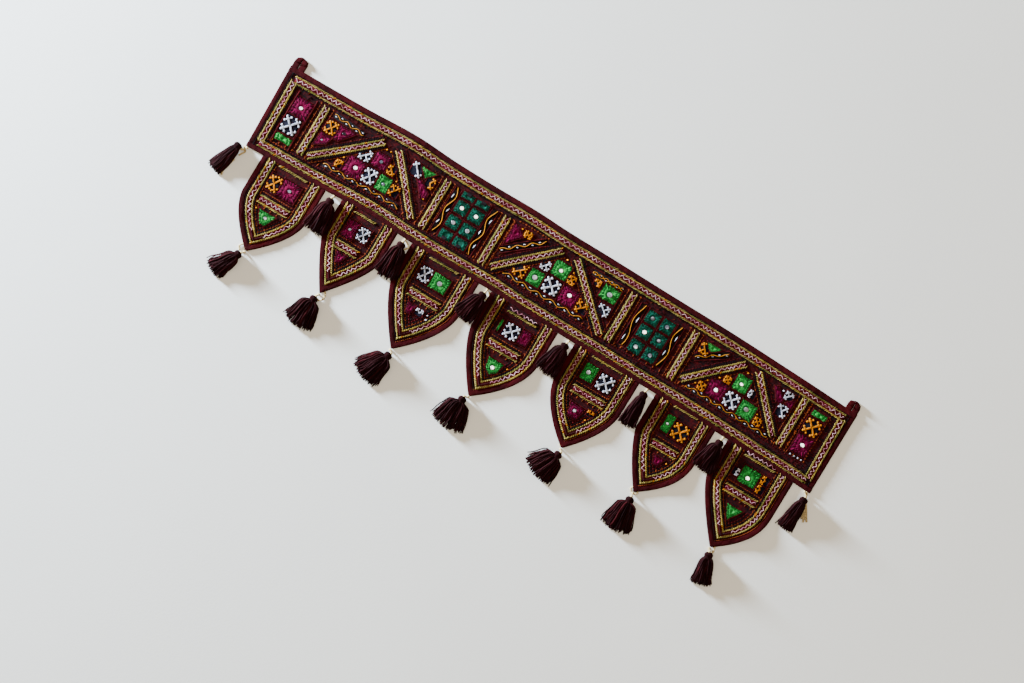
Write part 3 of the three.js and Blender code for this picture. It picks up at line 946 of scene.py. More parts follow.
def band_border(threads):
    """The strip round the band's four sides, mitred at the corners."""
    rows = {side: np.array(pair) for side, pair in BORDER_ROWS.items()}
    middle = {side: pair.mean() for side, pair in rows.items()}
    half = {side: (pair[1] - pair[0]) / 2 for side, pair in rows.items()}
    left = LEFT_END + middle["left"]
    right = RIGHT_END - middle["right"]
    top = BAND_TOP - middle["top"]
    foot = BAND_FOOT + middle["foot"]
    strip(threads, straight((left, top), (right, top)), half["top"], 1)
    strip(threads, straight((left, foot), (right, foot)), half["foot"], 2)
    strip(threads, straight((left, foot + 4), (left, top - 4)), half["left"], 3)
    strip(threads, straight((right + 1.2, foot + 4), (right - 1, top - 4)), half["right"], 5)
    within = BORDER_TICKS_INSET
    for line in four_sides(left + within, right - within, foot + within, top - within):
        ticks(threads, line, BLACK, 0.8, 3.3, 3.4, 50, 0.3)


UPRIGHT_STRIPS = [-285.5, -143.5, -74, 74, 147, 275]
UPRIGHT_REACH = (-16, 37)
SLANTED_STRIPS = [
    ((-277, -14), (-219, 37)),
    ((-201, 37), (-157, -14)),
    ((-63, -13), (-10, 37)),
    ((8, 37), (64, -15)),
    ((158, -10), (205, 35)),
    ((221, 35), (265, -12)),
]


def photo_line(first, second):
    return straight(from_photo(*first), from_photo(*second))


def level_line(reach, v, inset=0):
    """A line at one height, from one end of a reach to the other, moved in by an inset."""
    return photo_line((reach[0] + inset, v), (reach[1] - inset, v))


def field_strips(threads):
    """The strips that divide the band's field into triangles."""
    for i, u in enumerate(UPRIGHT_STRIPS):
        strip(threads, photo_line((u, UPRIGHT_REACH[0]), (u, UPRIGHT_REACH[1])), 3.9, i + 7)
        for side in (-1, 1):
            beside = photo_line((u + side * 7.2, -17), (u + side * 7.2, 38))
            running(threads, beside, RUST, 0.5, 4.6, 0.9)
            ticks(threads, beside, RUST, 0.5, 10, 5)
    for i, (first, second) in enumerate(SLANTED_STRIPS):
        line = photo_line(first, second)
        strip(threads, line, 4.1, i + 15)
        _, along, _ = evenly(line, 4)
        across = turned(along[:1], 90)
        for side in (-1, 1):
            running(threads, line + across * side * 11, DARK_RED if side > 0 else RUST, 0.6, 4.8, 0.9)
            ticks(threads, line + across * side * 7.8, BLACK, 0.8, 3.6, 4.6, 60, 0.35)


def tick_rows(threads):
    """Short upright stitches between the border and the field."""
    for reach, v in [((-316, 302), 40.5), ((-316, 300), -18)]:
        ticks(threads, level_line(reach, v), RUST, 0.72, 11.5, 5.2, 80)
    for v in (43.5, -21):
        running(threads, level_line((-316, 302), v), DARK_RED, 0.8, 4.4)


# Squares with a round of satin stitch: the frame in the photograph, the dye, the mirror's
# place and half width, and how brightly it shows, set as the glass's painted reflection
SQUARES = [
    dict(u=(-317, -297.5), v=(13.8, 32.3), dye=MAGENTA, mirror=(-307.5, 23), half=1.9, glass=GLASS_BRIGHT_PAINTED_REFLECTION),
    dict(u=(-316, -298), v=(-16, -9), dye=GREEN),
    dict(u=(-241, -222), v=(-10, 9), dye=MAGENTA, mirror=(-230, 0.5), half=2.2, glass=GLASS_BRIGHT_PAINTED_REFLECTION),
    dict(u=(-205, -191), v=(-7.5, 9), dye=GREEN, mirror=(-198, 1), half=1.8, glass=GLASS_DULL_PAINTED_REFLECTION),
    dict(u=(-219.5, -204), v=(11.5, 27), dye=MAGENTA, mirror=(-211, 19), half=1.7, glass=GLASS_DULL_PAINTED_REFLECTION),
    dict(u=(-10, 7.5), v=(11.8, 28), dye=GREEN, mirror=(-1, 19.3), half=2.2, glass=GLASS_BRIGHT_PAINTED_REFLECTION),
    dict(u=(-27, -12), v=(-8, 8), dye=GREEN, mirror=(-20, 0), half=2.7, glass=GLASS_GREY_PAINTED_REFLECTION),
    dict(u=(9.5, 28), v=(-8.5, 9.5), dye=MAGENTA, mirror=(19, 2.6), half=2.4, glass=GLASS_BRIGHT_PAINTED_REFLECTION),
    dict(u=(43.5, 62), v=(17, 32), dye=GREEN, mirror=(53, 24), half=2.8, glass=GLASS_GREY_PAINTED_REFLECTION),
    dict(u=(184, 202.5), v=(-11, 7.5), dye=MAGENTA, mirror=(193, -2), half=2.2, glass=GLASS_BRIGHT_PAINTED_REFLECTION),
    dict(u=(221, 238.5), v=(-13, 4.5), dye=GREEN, mirror=(229, -3), half=2.6, glass=GLASS_GREY_PAINTED_REFLECTION),
    dict(u=(204.5, 220), v=(8.3, 25), dye=GREEN, mirror=(212, 16), half=1.9, glass=GLASS_BRIGHT_PAINTED_REFLECTION),
    dict(u=(287, 303), v=(26.5, 32.5), dye=GREEN),
    dict(u=(286.5, 303.5), v=(-14.5, 4.5), dye=MAGENTA, mirror=(295.5, -4.3), half=2.3, glass=GLASS_BRIGHT_PAINTED_REFLECTION),
]

# Satin patches cut to a triangle or a slant by the strips, corner by corner
PATCHES = [
    dict(corners=[(-264.5, 14), (-264.5, 30.3), (-245.7, 30), (-259, 14.3)], dye=MAGENTA,
         mirror=(-257.5, 23.7), half=1.9, glass=GLASS_DARK_PAINTED_REFLECTION),
    dict(corners=[(-279, -1), (-278, 13.5), (-265.5, 13.5), (-268, 5)], dye=MAGENTA,
         mirror=(-273.5, 7), half=0.9, glass=GLASS_GREY_PAINTED_REFLECTION),
    dict(corners=[(-171, 22.5), (-167, 24.5), (-154.5, 16), (-154.5, 9), (-160, 9)], dye=MAGENTA),
    dict(corners=[(-174.5, 37), (-165.5, 27.5), (-156.5, 37)], dye=GREEN),
    dict(corners=[(-64.5, 13.5), (-51, 28), (-58, 35.5), (-64.5, 36)], dye=MAGENTA),
    dict(corners=[(161.4, 35.2), (165, 29.5), (168.8, 27.5), (173, 30), (178.2, 35.2)], dye=GREEN),
    dict(corners=[(241.5, 32), (245.5, 33.5), (256, 25), (255, 19.3), (250.5, 19.5)], dye=MAGENTA),
    dict(corners=[(258.8, 23), (266.8, 30.5), (266.8, 19.3)], dye=MAGENTA),
]

# Crosses: the frame in the photograph, the dye and the arms that show
CROSSES = [
    dict(u=(-317, -299), v=(-6.8, 12), dye=WHITE),
    dict(u=(-277.5, -265.5), v=(14.8, 29.5), dye=ORANGE),
    dict(u=(-250.5, -243), v=(-9, -0.5), dye=ORANGE, arms=(0, 1, 2)),
    dict(u=(-220.5, -207), v=(-8, 9), dye=WHITE),
    dict(u=(-190, -180), v=(-5.5, 7), dye=ORANGE, arms=(0, 1, 2)),
    dict(u=(-235, -221.5), v=(11, 22), dye=WHITE, arms=(0, 2, 3)),
    dict(u=(-202, -193.5), v=(11.5, 22), dye=ORANGE, arms=(1, 2, 3)),
    dict(u=(-182.5, -170), v=(24, 38), dye=WHITE, arms=(1, 3)),
    dict(u=(-163, -154), v=(20.5, 32), dye=ORANGE, arms=(0, 3)),
    dict(u=(-52, -43), v=(29.5, 36), dye=ORANGE),
    dict(u=(-22, -12), v=(11, 21), dye=WHITE, arms=(0, 2, 3)),
    dict(u=(9, 17), v=(11.5, 21.5), dye=ORANGE),
    dict(u=(-43.5, -29.5), v=(-8, 4), dye=ORANGE, arms=(0, 2, 3)),
    dict(u=(-10.5, 8), v=(-7.5, 9), dye=WHITE),
    dict(u=(29, 42), v=(-8, 4), dye=ORANGE, arms=(0, 1, 2)),
    dict(u=(33, 40.5), v=(24.5, 31.5), dye=ORANGE, arms=(0, 1, 3)),
    dict(u=(49, 62.5), v=(2, 13), dye=WHITE, arms=(0, 1, 3)),
    dict(u=(157.5, 167), v=(21, 33.5), dye=ORANGE, arms=(1, 2, 3)),
    dict(u=(174.5, 183), v=(-10.8, -2), dye=ORANGE),
    dict(u=(203.5, 219.5), v=(-11, 5), dye=WHITE),
    dict(u=(240.5, 249), v=(-12, -4), dye=ORANGE),
    dict(u=(194, 201.5), v=(9, 16.5), dye=ORANGE),
    dict(u=(222.5, 230), v=(8.5, 17), dye=WHITE, arms=(1, 2)),
    dict(u=(254.5, 263.5), v=(26, 34.5), dye=WHITE, arms=(0, 1, 2)),
    dict(u=(254.5, 265.5), v=(7.5, 20.5), dye=WHITE, arms=(0, 1, 3)),
    dict(u=(286, 303), v=(7, 24), dye=ORANGE),
]

KNOTS = [
    (-55.5, 35, ORANGE), (-1, 32, ORANGE), (11, 24, ORANGE), (-212.5, 32.5, ORANGE),
    (30, 5, ORANGE), (-30, 5.5, ORANGE), (-208, 32.5, ORANGE), (289.5, -18, WHITE), (294, -18, WHITE),
    (298.2, -18, WHITE), (302, -18, WHITE), (-188, 10, ORANGE), (-156, 9, ORANGE), (-245.5, 3.5, ORANGE),
    (241, -1.6, ORANGE), (252.3, -9.8, ORANGE), (212, 29, ORANGE), (181, 2, ORANGE),
    (171.8, -6.6, ORANGE), (251.4, 32.5, WHITE), (190, 10.5, ORANGE),
]

# Couched waves: where each starts and ends, its period, its half height and how it begins
WAVES = [
    dict(first=(-275, 35.3), last=(-240, 32.8), half=2, phase=0.5, period=19),
    dict(first=(-260, -12.5), last=(-173, -12), half=2.2, phase=0, period=23.5),
    dict(first=(-65, 5.5), last=(-28, 36), half=1.9, phase=0.6, period=24),
    dict(first=(-50, -11.5), last=(42, -11.5), half=2.3, phase=-1.2, period=25),
    dict(first=(27, 35), last=(62, 35), half=2, phase=0, double=True, period=19),
    dict(first=(165, -13.5), last=(261, -15.5), half=2.3, phase=3.6, period=23),
    dict(first=(158, 15.5), last=(186.5, 34.5), half=1.3, phase=0.2, period=22),
    dict(first=(-131, -13), last=(-131, 37), half=3.2, phase=2.4, period=45),
    dict(first=(-90, -15), last=(-88, 37.5), half=3.4, phase=-0.6, period=45),
    dict(first=(88, -12), last=(88, 34), half=3.4, phase=3.54, period=64),
    dict(first=(131, -12), last=(131, 34), half=3.4, phase=2.2, period=56),
]

# Grids of dark green cells: the columns and rows of the frames, and the glass down each column, its colour a
# painted reflection
CELL_GRIDS = [
    dict(columns=[(-125, -111.5), (-109, -94.5)], rows=[(31, 37.5), (14.5, 28), (-2, 11), (-15, -5)],
         glass=[(None, GLASS_BRIGHT_PAINTED_REFLECTION, GLASS_GREY_PAINTED_REFLECTION, None), (None, GLASS_BRIGHT_PAINTED_REFLECTION, GLASS_GREY_PAINTED_REFLECTION, None)]),
    dict(columns=[(95, 109), (112, 125.5)], rows=[(19.5, 33), (3.5, 17), (-13.5, 0)],
         glass=[(GLASS_DULL_PAINTED_REFLECTION, GLASS_BRIGHT_PAINTED_REFLECTION, GLASS_GREY_PAINTED_REFLECTION), (GLASS_DULL_PAINTED_REFLECTION, GLASS_DULL_PAINTED_REFLECTION, GLASS_DULL_PAINTED_REFLECTION)]),
]


def couched_ground(threads, first, last, half):
    """Black ground under a couched wave, edged with chain stitch."""
    line = photo_line(first, last)
    _, along, _ = evenly(line, 4)
    across = turned(along[:1], 90)
    threads.run(line, half, 0.25, BLACK, 0.1, ring=FLAT)
    for side in (-1, 1):
        chain(threads, line + across * side * half, DARK_RED, 0.8)
    return line


def waves(threads):
    for row in WAVES:
        line = couched_ground(threads, row["first"], row["last"], 5.6)
        wave(threads, line, row["period"], row["half"], row["phase"])
        if row.get("double"):
            wave(threads, line, row["period"], row["half"], row["phase"] + np.pi, dashes=False)


def satin_patch(threads, mirrors, row):
    """One patch of satin stitch in its frame, with its mirror if it has one."""
    if "corners" in row:
        corners = np.array([from_photo(*corner) for corner in row["corners"]])
    else:
        corners = box_corners(*row["u"], *row["v"])
    glass = row.get("mirror")
    centre = from_photo(*glass) if glass else None
    radial(threads, corners, row["dye"], centre, row.get("half", 0.8) * PHOTO_STEP * 1.15)
    if glass:
        mirrors.append(dict(at=centre, half=row["half"] * PHOTO_STEP, dye=row["glass"]))


def squares(threads, mirrors):
    for row in SQUARES + PATCHES:
        satin_patch(threads, mirrors, row)


def crosses(threads):
    for row in CROSSES:
        cross(threads, row)
    for u, v, colour in KNOTS:
        small_knot(threads, u, v, colour)


def cell_grids(threads, mirrors):
    """Small dark green squares, most with a mirror and the rest with a black patch, divided by dark red
    chain stitch.
    """
    for grid in CELL_GRIDS:
        for column, glasses in zip(grid["columns"], grid["glass"]):
            for row, glass in zip(grid["rows"], glasses):
                corners = box_corners(*column, *row)
                centre = corners.mean(axis=0)
                radial(threads, corners, DARK_GREEN, centre, 4.2, 28)
                if glass is None:
                    edge = corners[2:] if row[0] > 0 else corners[:2]
                    middle = edge.mean(axis=0) * 0.7 + centre * 0.3
                    pad(threads, middle + np.array([(-4, -3), (4, -3), (4, 3), (-4, 3)]), BLACK, 1.5)
                else:
                    mirrors.append(dict(at=centre, half=3.4, dye=glass))


def field_lines(threads):
    """Single lines of chain and running stitch in the band's field."""
    for first, second in [
        ((-317.5, -20), (-317.5, 37)), ((-297, -20), (-297, 37)), ((-44, -9), (43, -9)),
        ((-255, -10.5), (-178, -10.5)), ((168, -13), (256, -13)),
    ]:
        chain(threads, photo_line(first, second), DARK_RED)
    for first, second in [
        ((-320, -20.5), (-297, -20.5)), ((-61, 40.3), (-28, 40.3)),
        ((-66, 17), (-66, 37)), ((-67.5, -17), (-67.5, -1)), ((24, 16), (46, -4.5)), ((283, -18), (283, 36)),
        ((305, -18), (305, 36)),
    ]:
        running(threads, photo_line(first, second), RUST, 0.8, 4.6, 0.8)
        ticks(threads, photo_line(first, second), RUST, 0.6, 9.8, 3.6)


def darning(threads, count, inside):
    """Scattered short stitches of maroon, black and rust over the ground."""
    x = chance.uniform(*inside["x"], count)
    y = chance.uniform(*inside["y"], count)
    middle = np.column_stack([x, y])
    lean_over = np.radians(20 * np.sin(x * 0.05) + 40 * (chance.uniform(0, 1, count) > 0.6))
    reach = np.column_stack([np.cos(lean_over), np.sin(lean_over)])
    reach = reach * chance.uniform(1.2, 2.6, (count, 1))
    pick = chance.integers(0, 8, count)
    tones = np.array([MAROON, BLACK, DARK_RED, BLACK, MAROON, DARK_RED, BLACK, RUST * 0.5])[pick]
    threads.stitches(middle - reach, middle + reach, 0.55, tones, 0, 0.45)


# The tongues


def pendant_cloth(i, pendant):
    top = BAND_FOOT - 0.5
    meeting = meeting_y(pendant, TUCK, TUCK)

    def place(u, v):
        y = meeting + (top - meeting) * v
        left = side_x(pendant, 0, y, TUCK)
        right = side_x(pendant, 1, y, TUCK)
        x = left + (right - left) * u
        return np.column_stack([x, y, ground(x, y)])

    name = f"pendant_{i + 1}"
    return sheet_piece(f"{name}_cloth", 26, 36, place, f"{name}_panel")


def pendant_binding(i, pendant):
    """A strip down one side of a tongue, round its point and up the other side."""
    top = BAND_FOOT - SEAM_GAP
    lines = []
    for inset in (0, BINDING_WIDTH):
        left, right = [side_line(pendant, side, inset, inset, top) for side in (0, 1)]
        lines.append(np.concatenate([left, right[::-1][1:]]))
    return folded_strip(f"pendant_{i + 1}_binding", "cotton", lines, 2 * SIDE_STATIONS - 1)


def pendant_strips(threads, i, pendant):
    """The pointed strip inside a tongue's edges, with its rows and lines of ticks."""
    left, right = STRIP_INSETS[i]
    for side, inset, other in ((0, left, right), (1, right, left)):
        line = side_line(pendant, side, inset, other)
        places, _, _ = evenly(line, 4)
        threads.run(places, 4.2, 0.5, CRIMSON, 0.1, ring=FLAT)
        zigzag(threads, line[:-5], i * 3 + side, 1.8, 8)
        chain(threads, line[-6:], MAROON, 1.4, 2.2, 0.5)
        for shift in (-4.6, 4.6):
            row = side_line(pendant, side, inset + shift, other + shift)
            gold_row(threads, row, i * 5 + side + shift)
        inner = side_line(pendant, side, inset + 10, other + 10)
        running(threads, inner, RUST, 0.5, 4.8, 0.9)
        ticks(threads, inner, RUST, 0.5, 9.9, 5.5)
        black = side_line(pendant, side, inset + 7.4, other + 7.4)
        ticks(threads, black, BLACK, 0.85, 3.4, 3.8, 55, 0.35)
    edge = side_line(pendant, 1, 9.6, 9.6)
    chain(threads, edge, RUST, 0.5, 3, 0.25)
    chain(threads, side_line(pendant, 0, 9.4, 9.4), BLACK, 0.6, 3.2, 0.25)
    # A seam thread made very dark and sunk in the gap where the tongue meets the band: partly the real seam,
    # partly painted shade in that gap.
    seam_thread_and_gap_shade = straight((pendant["left"] + 1, BAND_FOOT - 0.2), (pendant["right"] - 1, BAND_FOOT - 0.2))
    threads.run(seam_thread_and_gap_shade, 0.8, 0.7, MAROON * 0.5, -0.7)


# The strip across each tongue, the row along its top, and the tongues with a zigzag over it
CROSS_STRIPS = [
    dict(u=(-296, -264), v=-75),
    dict(u=(-208, -184), v=-73.4),
    dict(u=(-120, -87.5), v=-76),
    dict(u=(-26, 7), v=-78.3),
    dict(u=(70, 105), v=-74),
    dict(u=(166, 193), v=-79.3),
    dict(u=(251, 286), v=-79.3),
]
TOP_ROW_V = [-37, -37, -37, -42, -37, -37, -42]
TOP_ZIGZAG = (3, 6)


def pendant_cross_strips(threads, i):
    """The strip across the middle of a tongue and the row along its top."""
    reach = CROSS_STRIPS[i]["u"]
    middle = CROSS_STRIPS[i]["v"]
    above = middle + 7.6
    top = TOP_ROW_V[i]
    strip(threads, level_line(reach, middle), 5.3, i + 30)
    running(threads, level_line(reach, above), RUST, 0.6, 4, 0.9)
    ticks(threads, level_line(reach, above - 2), BLACK, 0.7, 3.6, 3.6, 60)
    ticks(threads, level_line(reach, middle - 6.4, 2), RUST, 0.6, 9, 3.6)
    gold_row(threads, level_line(reach, top, 1), i + 40)
    if i in TOP_ZIGZAG:
        zigzag(threads, level_line(reach, top + 3.2, 1), i, 1.9)


# Satin patches on the tongues: the squares above the strip, then the slanted ones below it
PENDANT_PATCHES = [
    dict(tongue=1, u=(-284, -265), v=(-64, -45), dye=MAGENTA,
         mirror=(-274, -54), half=1.8, glass=GLASS_GREY_PAINTED_REFLECTION),
    dict(tongue=2, u=(-209, -196.5), v=(-64, -45.5), dye=MAGENTA,
         mirror=(-203, -55), half=1.5, glass=GLASS_GREY_PAINTED_REFLECTION),
    dict(tongue=3, u=(-107.5, -89), v=(-63, -46.5), dye=GREEN,
         mirror=(-98, -55), half=2.6, glass=GLASS_GREY_PAINTED_REFLECTION),
    dict(tongue=4, u=(-2, 8), v=(-65.5, -50), dye=MAGENTA),
    dict(tongue=4, u=(-26.5, -24), v=(-65, -52), dye=GREEN),
    dict(tongue=5, u=(69, 83), v=(-62, -44.5), dye=GREEN, mirror=(75, -53), half=2.3, glass=GLASS_GREY_PAINTED_REFLECTION),
    dict(tongue=6, u=(165, 174), v=(-65, -46.5), dye=GREEN, mirror=(169, -56), half=1.6, glass=GLASS_GREY_PAINTED_REFLECTION),
    dict(tongue=7, u=(257, 276), v=(-68, -50.5), dye=GREEN, mirror=(266, -61), half=2.4, glass=GLASS_BRIGHT_PAINTED_REFLECTION),
    dict(tongue=1, corners=[(-291, -84), (-284, -97), (-278, -97), (-272, -84)], dye=GREEN,
         mirror=(-281, -89.5), half=1.9, glass=GLASS_GREY_PAINTED_REFLECTION),
    dict(tongue=2, corners=[(-203, -80), (-199, -90), (-195, -90), (-191.5, -80)], dye=MAGENTA),
    dict(tongue=3, corners=[(-115.5, -86), (-113, -96.5), (-108, -96.5), (-106.5, -86)], dye=MAGENTA),
    dict(tongue=4, corners=[(-18, -91), (-16, -102), (-9.5, -107), (-3, -102), (-1, -91)], dye=GREEN,
         mirror=(-9.5, -99), half=2.2, glass=GLASS_BRIGHT_PAINTED_REFLECTION),
    dict(tongue=5, corners=[(75.5, -87), (79, -101), (88, -101), (91.5, -87)], dye=MAGENTA,
         mirror=(83, -93), half=1.8, glass=GLASS_GREY_PAINTED_REFLECTION),
    dict(tongue=6, corners=[(174, -89), (177, -98), (182, -98), (185.5, -89)], dye=MAGENTA),
    dict(tongue=7, corners=[(261, -92.5), (269, -107.5), (279.5, -92.5)], dye=GREEN),
]
PENDANT_CROSSES = [
    dict(tongue=1, u=(-298, -285.5), v=(-64, -46.5), dye=ORANGE, arms=(0, 3, 1, 2)),
    dict(tongue=2, u=(-194.5, -182.5), v=(-61, -45.5), dye=WHITE),
    dict(tongue=3, u=(-121.5, -109.5), v=(-63, -46), dye=WHITE),
    dict(tongue=3, u=(-105, -96.5), v=(-94, -86.5), dye=WHITE, arms=(0, 1)),
    dict(tongue=4, u=(-20, -3.5), v=(-66.5, -50.5), dye=WHITE),
    dict(tongue=5, u=(86.5, 104), v=(-63, -45.5), dye=WHITE),
    dict(tongue=5, u=(94.5, 102), v=(-91, -85), dye=ORANGE, arms=(0, 1)),
    dict(tongue=6, u=(175.5, 193), v=(-66, -48.5), dye=ORANGE),
    dict(tongue=7, u=(278.5, 286.5), v=(-59, -50), dye=ORANGE, arms=(1, 2)),
    dict(tongue=7, u=(278.5, 286.5), v=(-69, -60.5), dye=ORANGE, arms=(1, 2)),
    dict(tongue=7, u=(249, 255.5), v=(-65, -57), dye=WHITE, arms=(0, 3)),
]
PENDANT_KNOTS = [
    dict(tongue=3, at=(-92, -88.5), dye=WHITE),
    dict(tongue=3, at=(-91, -93), dye=WHITE),
    dict(tongue=1, at=(-294, -85), dye=ORANGE),
    dict(tongue=4, at=(4, -93), dye=ORANGE),
    dict(tongue=5, at=(97, -96), dye=ORANGE),
    dict(tongue=6, at=(189, -91), dye=ORANGE),
]


def pendant_motifs(threads, mirrors, i):
    patches, crossed, knots = [
        [row for row in rows if row["tongue"] == i + 1]
        for rows in (PENDANT_PATCHES, PENDANT_CROSSES, PENDANT_KNOTS)
    ]
    for row in patches:
        satin_patch(threads, mirrors, row)
    for row in crossed:
        cross(threads, row)
    for row in knots:
        small_knot(threads, *row["at"], row["dye"])


def pendant_lower_point(threads, i, pendant):
    """Lines of stitch that fill the point of a tongue below its cross strip."""
    left, right = STRIP_INSETS[i]
    low = from_photo(0, CROSS_STRIPS[i]["v"] - 9)[1]
    for step, colour in ((12.5, BLACK), (15.5, DARK_RED), (19, BLACK)):
        for side, inset, other in ((0, left, right), (1, right, left)):
            if meeting_y(pendant, left + step, right + step) < low - 3:
                line = side_line(pendant, side, inset + step, other + step, low)
                running(threads, line, colour, 0.8, 4.4, 0.85)


# Mirrors


def mirror_master():
    """A small round of glass with a soft edge, one millimetre in half width."""
    bpy.ops.object.select_all(action="DESELECT")
    bpy.ops.mesh.primitive_cylinder_add(vertices=18, radius=0.001, depth=0.0008)
    piece = bpy.context.object
    bevel = piece.modifiers.new("soft_edge", "BEVEL")
    bevel.width = 0.00022
    bevel.segments = 2
    bevel.limit_method = "ANGLE"
    bpy.ops.object.modifier_apply(modifier=bevel.name)
    return piece


def mirrors_made(name, rows):
    """All mirrors of one cloth, copied from one and joined."""
    master = mirror_master()
    copies = []
    for row in rows:
        piece = master.copy()
        piece.data = master.data.copy()
        bpy.context.scene.collection.objects.link(piece)
        points = np.zeros(len(piece.data.vertices) * 3)
        piece.data.vertices.foreach_get("co", points)
        points = points.reshape(-1, 3) * 1000
        squash = chance.uniform(0.82, 1)
        tilt = chance.uniform(-0.12, 0.12, 2)
        if row["dye"] is GLASS_BRIGHT_PAINTED_REFLECTION:
            tilt = tilt * 0.1 + row["at"] * 0.0002
        flat = points[:, :2] * row["half"] * np.array([1, squash])
        height = ground(row["at"][0], row["at"][1]) + 1.25 + points[:, 2] + flat @ tilt
        places = np.column_stack([flat + row["at"], height])
        piece.data.vertices.foreach_set("co", lie(places).ravel())
        # The dye attribute carries the glass colour, a painted reflection of how brightly this mirror shines
        shown = piece.data.attributes.new("dye", "FLOAT_COLOR", "POINT")
        colours = np.tile([*row["dye"], 1], len(places))
        shown.data.foreach_set("color", colours)
        piece.select_set(True)
        copies.append(piece)
    bpy.data.objects.remove(master)
    bpy.context.view_layer.objects.active = copies[0]
    bpy.ops.object.join()
    piece = bpy.context.object
    piece.name = name
    bpy.ops.object.shade_smooth_by_angle(angle=math.radians(40))
    return settled(piece, MIRROR_GLASS)


# Tassels and their ties


KNOB_STRANDS = 34
KNOB_GIRTH = np.array([0.2, 0.8, 0.95, 0.95, 0.85, 0.72, 0.72, 0.8, 0.9])
STRAND_STATIONS = np.array([0, 0.06, 0.13, 0.23, 0.37, 0.53, 0.69, 0.85, 1])[None]
STRAND_TAPER = np.array([0.8, 1, 1, 1, 1, 1, 1, 0.95, 0.7])
YARN_CLEARANCE = 1.2
YARN_DEPTH = 1.8
TIE_PLIES = 2
TIE_PITCH = 4.6
LOOSE_END_HEIGHT = 1.2


def on_floor(row):
    """Turns and moves a tassel's own frame to where the tassel lies."""
    swing = np.radians(sum(row["spread"]) / 2)
    cos, sin = np.cos(swing), np.sin(swing)

    def placed(points):
        x, y, z = np.asarray(points, float).T
        return np.column_stack([x * cos - y * sin + row["x"], x * sin + y * cos + row["y"], z]) / 1000

    return placed


def knob(threads):
    """The rounded top of a tassel: yarn carried over it from the crown to the neck."""
    turn = np.linspace(0, 2 * np.pi, KNOB_STRANDS, endpoint=False)[:, None]
    fall = np.linspace(0.06, 0.86, 9)[None] * np.pi
    out = np.sin(fall) ** 0.8 * KNOB_HALF
    out = np.maximum(out, np.where(fall > 1.8, NECK_HALF * 1.02, 0))
    x = out * np.cos(turn)
    z = out * np.sin(turn) * 0.86
    y = -KNOB_LENGTH * (1 - np.cos(fall)) / 2 + 0 * x
    up = unit(np.stack([x, 0 * x, z], axis=2) + np.array([0, 0.02, 0.01]))
    x = x + chance.normal(0, 0.12, x.shape)
    paths = np.stack([x, y, z + TASSEL_MIDDLE], axis=2)
    threads.lay(paths, 0.85, 0.8, shades(YARN, KNOB_STRANDS, 0.3), up=up)
    # The core is the same yarn made darker: painted shade where it shows between the strands over it.
    core = np.linspace(-0.4, -HEAD_LENGTH, 9)
    middle = np.column_stack([0 * core, core, 0 * core + TASSEL_MIDDLE])[None]
    girth = KNOB_GIRTH * KNOB_HALF * 0.9
    threads.lay(middle, girth, girth * 0.9, YARN * 0.6, ring=FLAT)


def neck_wraps(threads):
    """Three turns of yarn bound round the neck."""
    turns = np.linspace(0, 3 * 2 * np.pi, 45)
    x = NECK_HALF * 1.05 * np.cos(turns)
    z = NECK_HALF * 0.9 * np.sin(turns)
    y = -KNOB_LENGTH + 1.4 - turns / (2 * np.pi) * 1.05
    up = unit(np.column_stack([x, 0 * x, z]))[None]
    path = np.column_stack([x, y, z + TASSEL_MIDDLE])[None]
    threads.lay(path, 0.72, 0.6, YARN * 1.1, up=up)


def tongue_top(x, y):
    """How high the tongue under a place stands, and nought beside the tongues."""
    flat_y = y - rise(x)
    height = np.zeros_like(x)
    for pendant in PENDANTS:
        within = (flat_y < BAND_FOOT) & (flat_y > BAND_FOOT - pendant["length"])
        within &= x > side_x(pendant, 0, flat_y, -4)
        within &= x < side_x(pendant, 1, flat_y, -4)
        height = np.where(within, BINDING_THICKNESS + lift(x, flat_y), height)
    return height


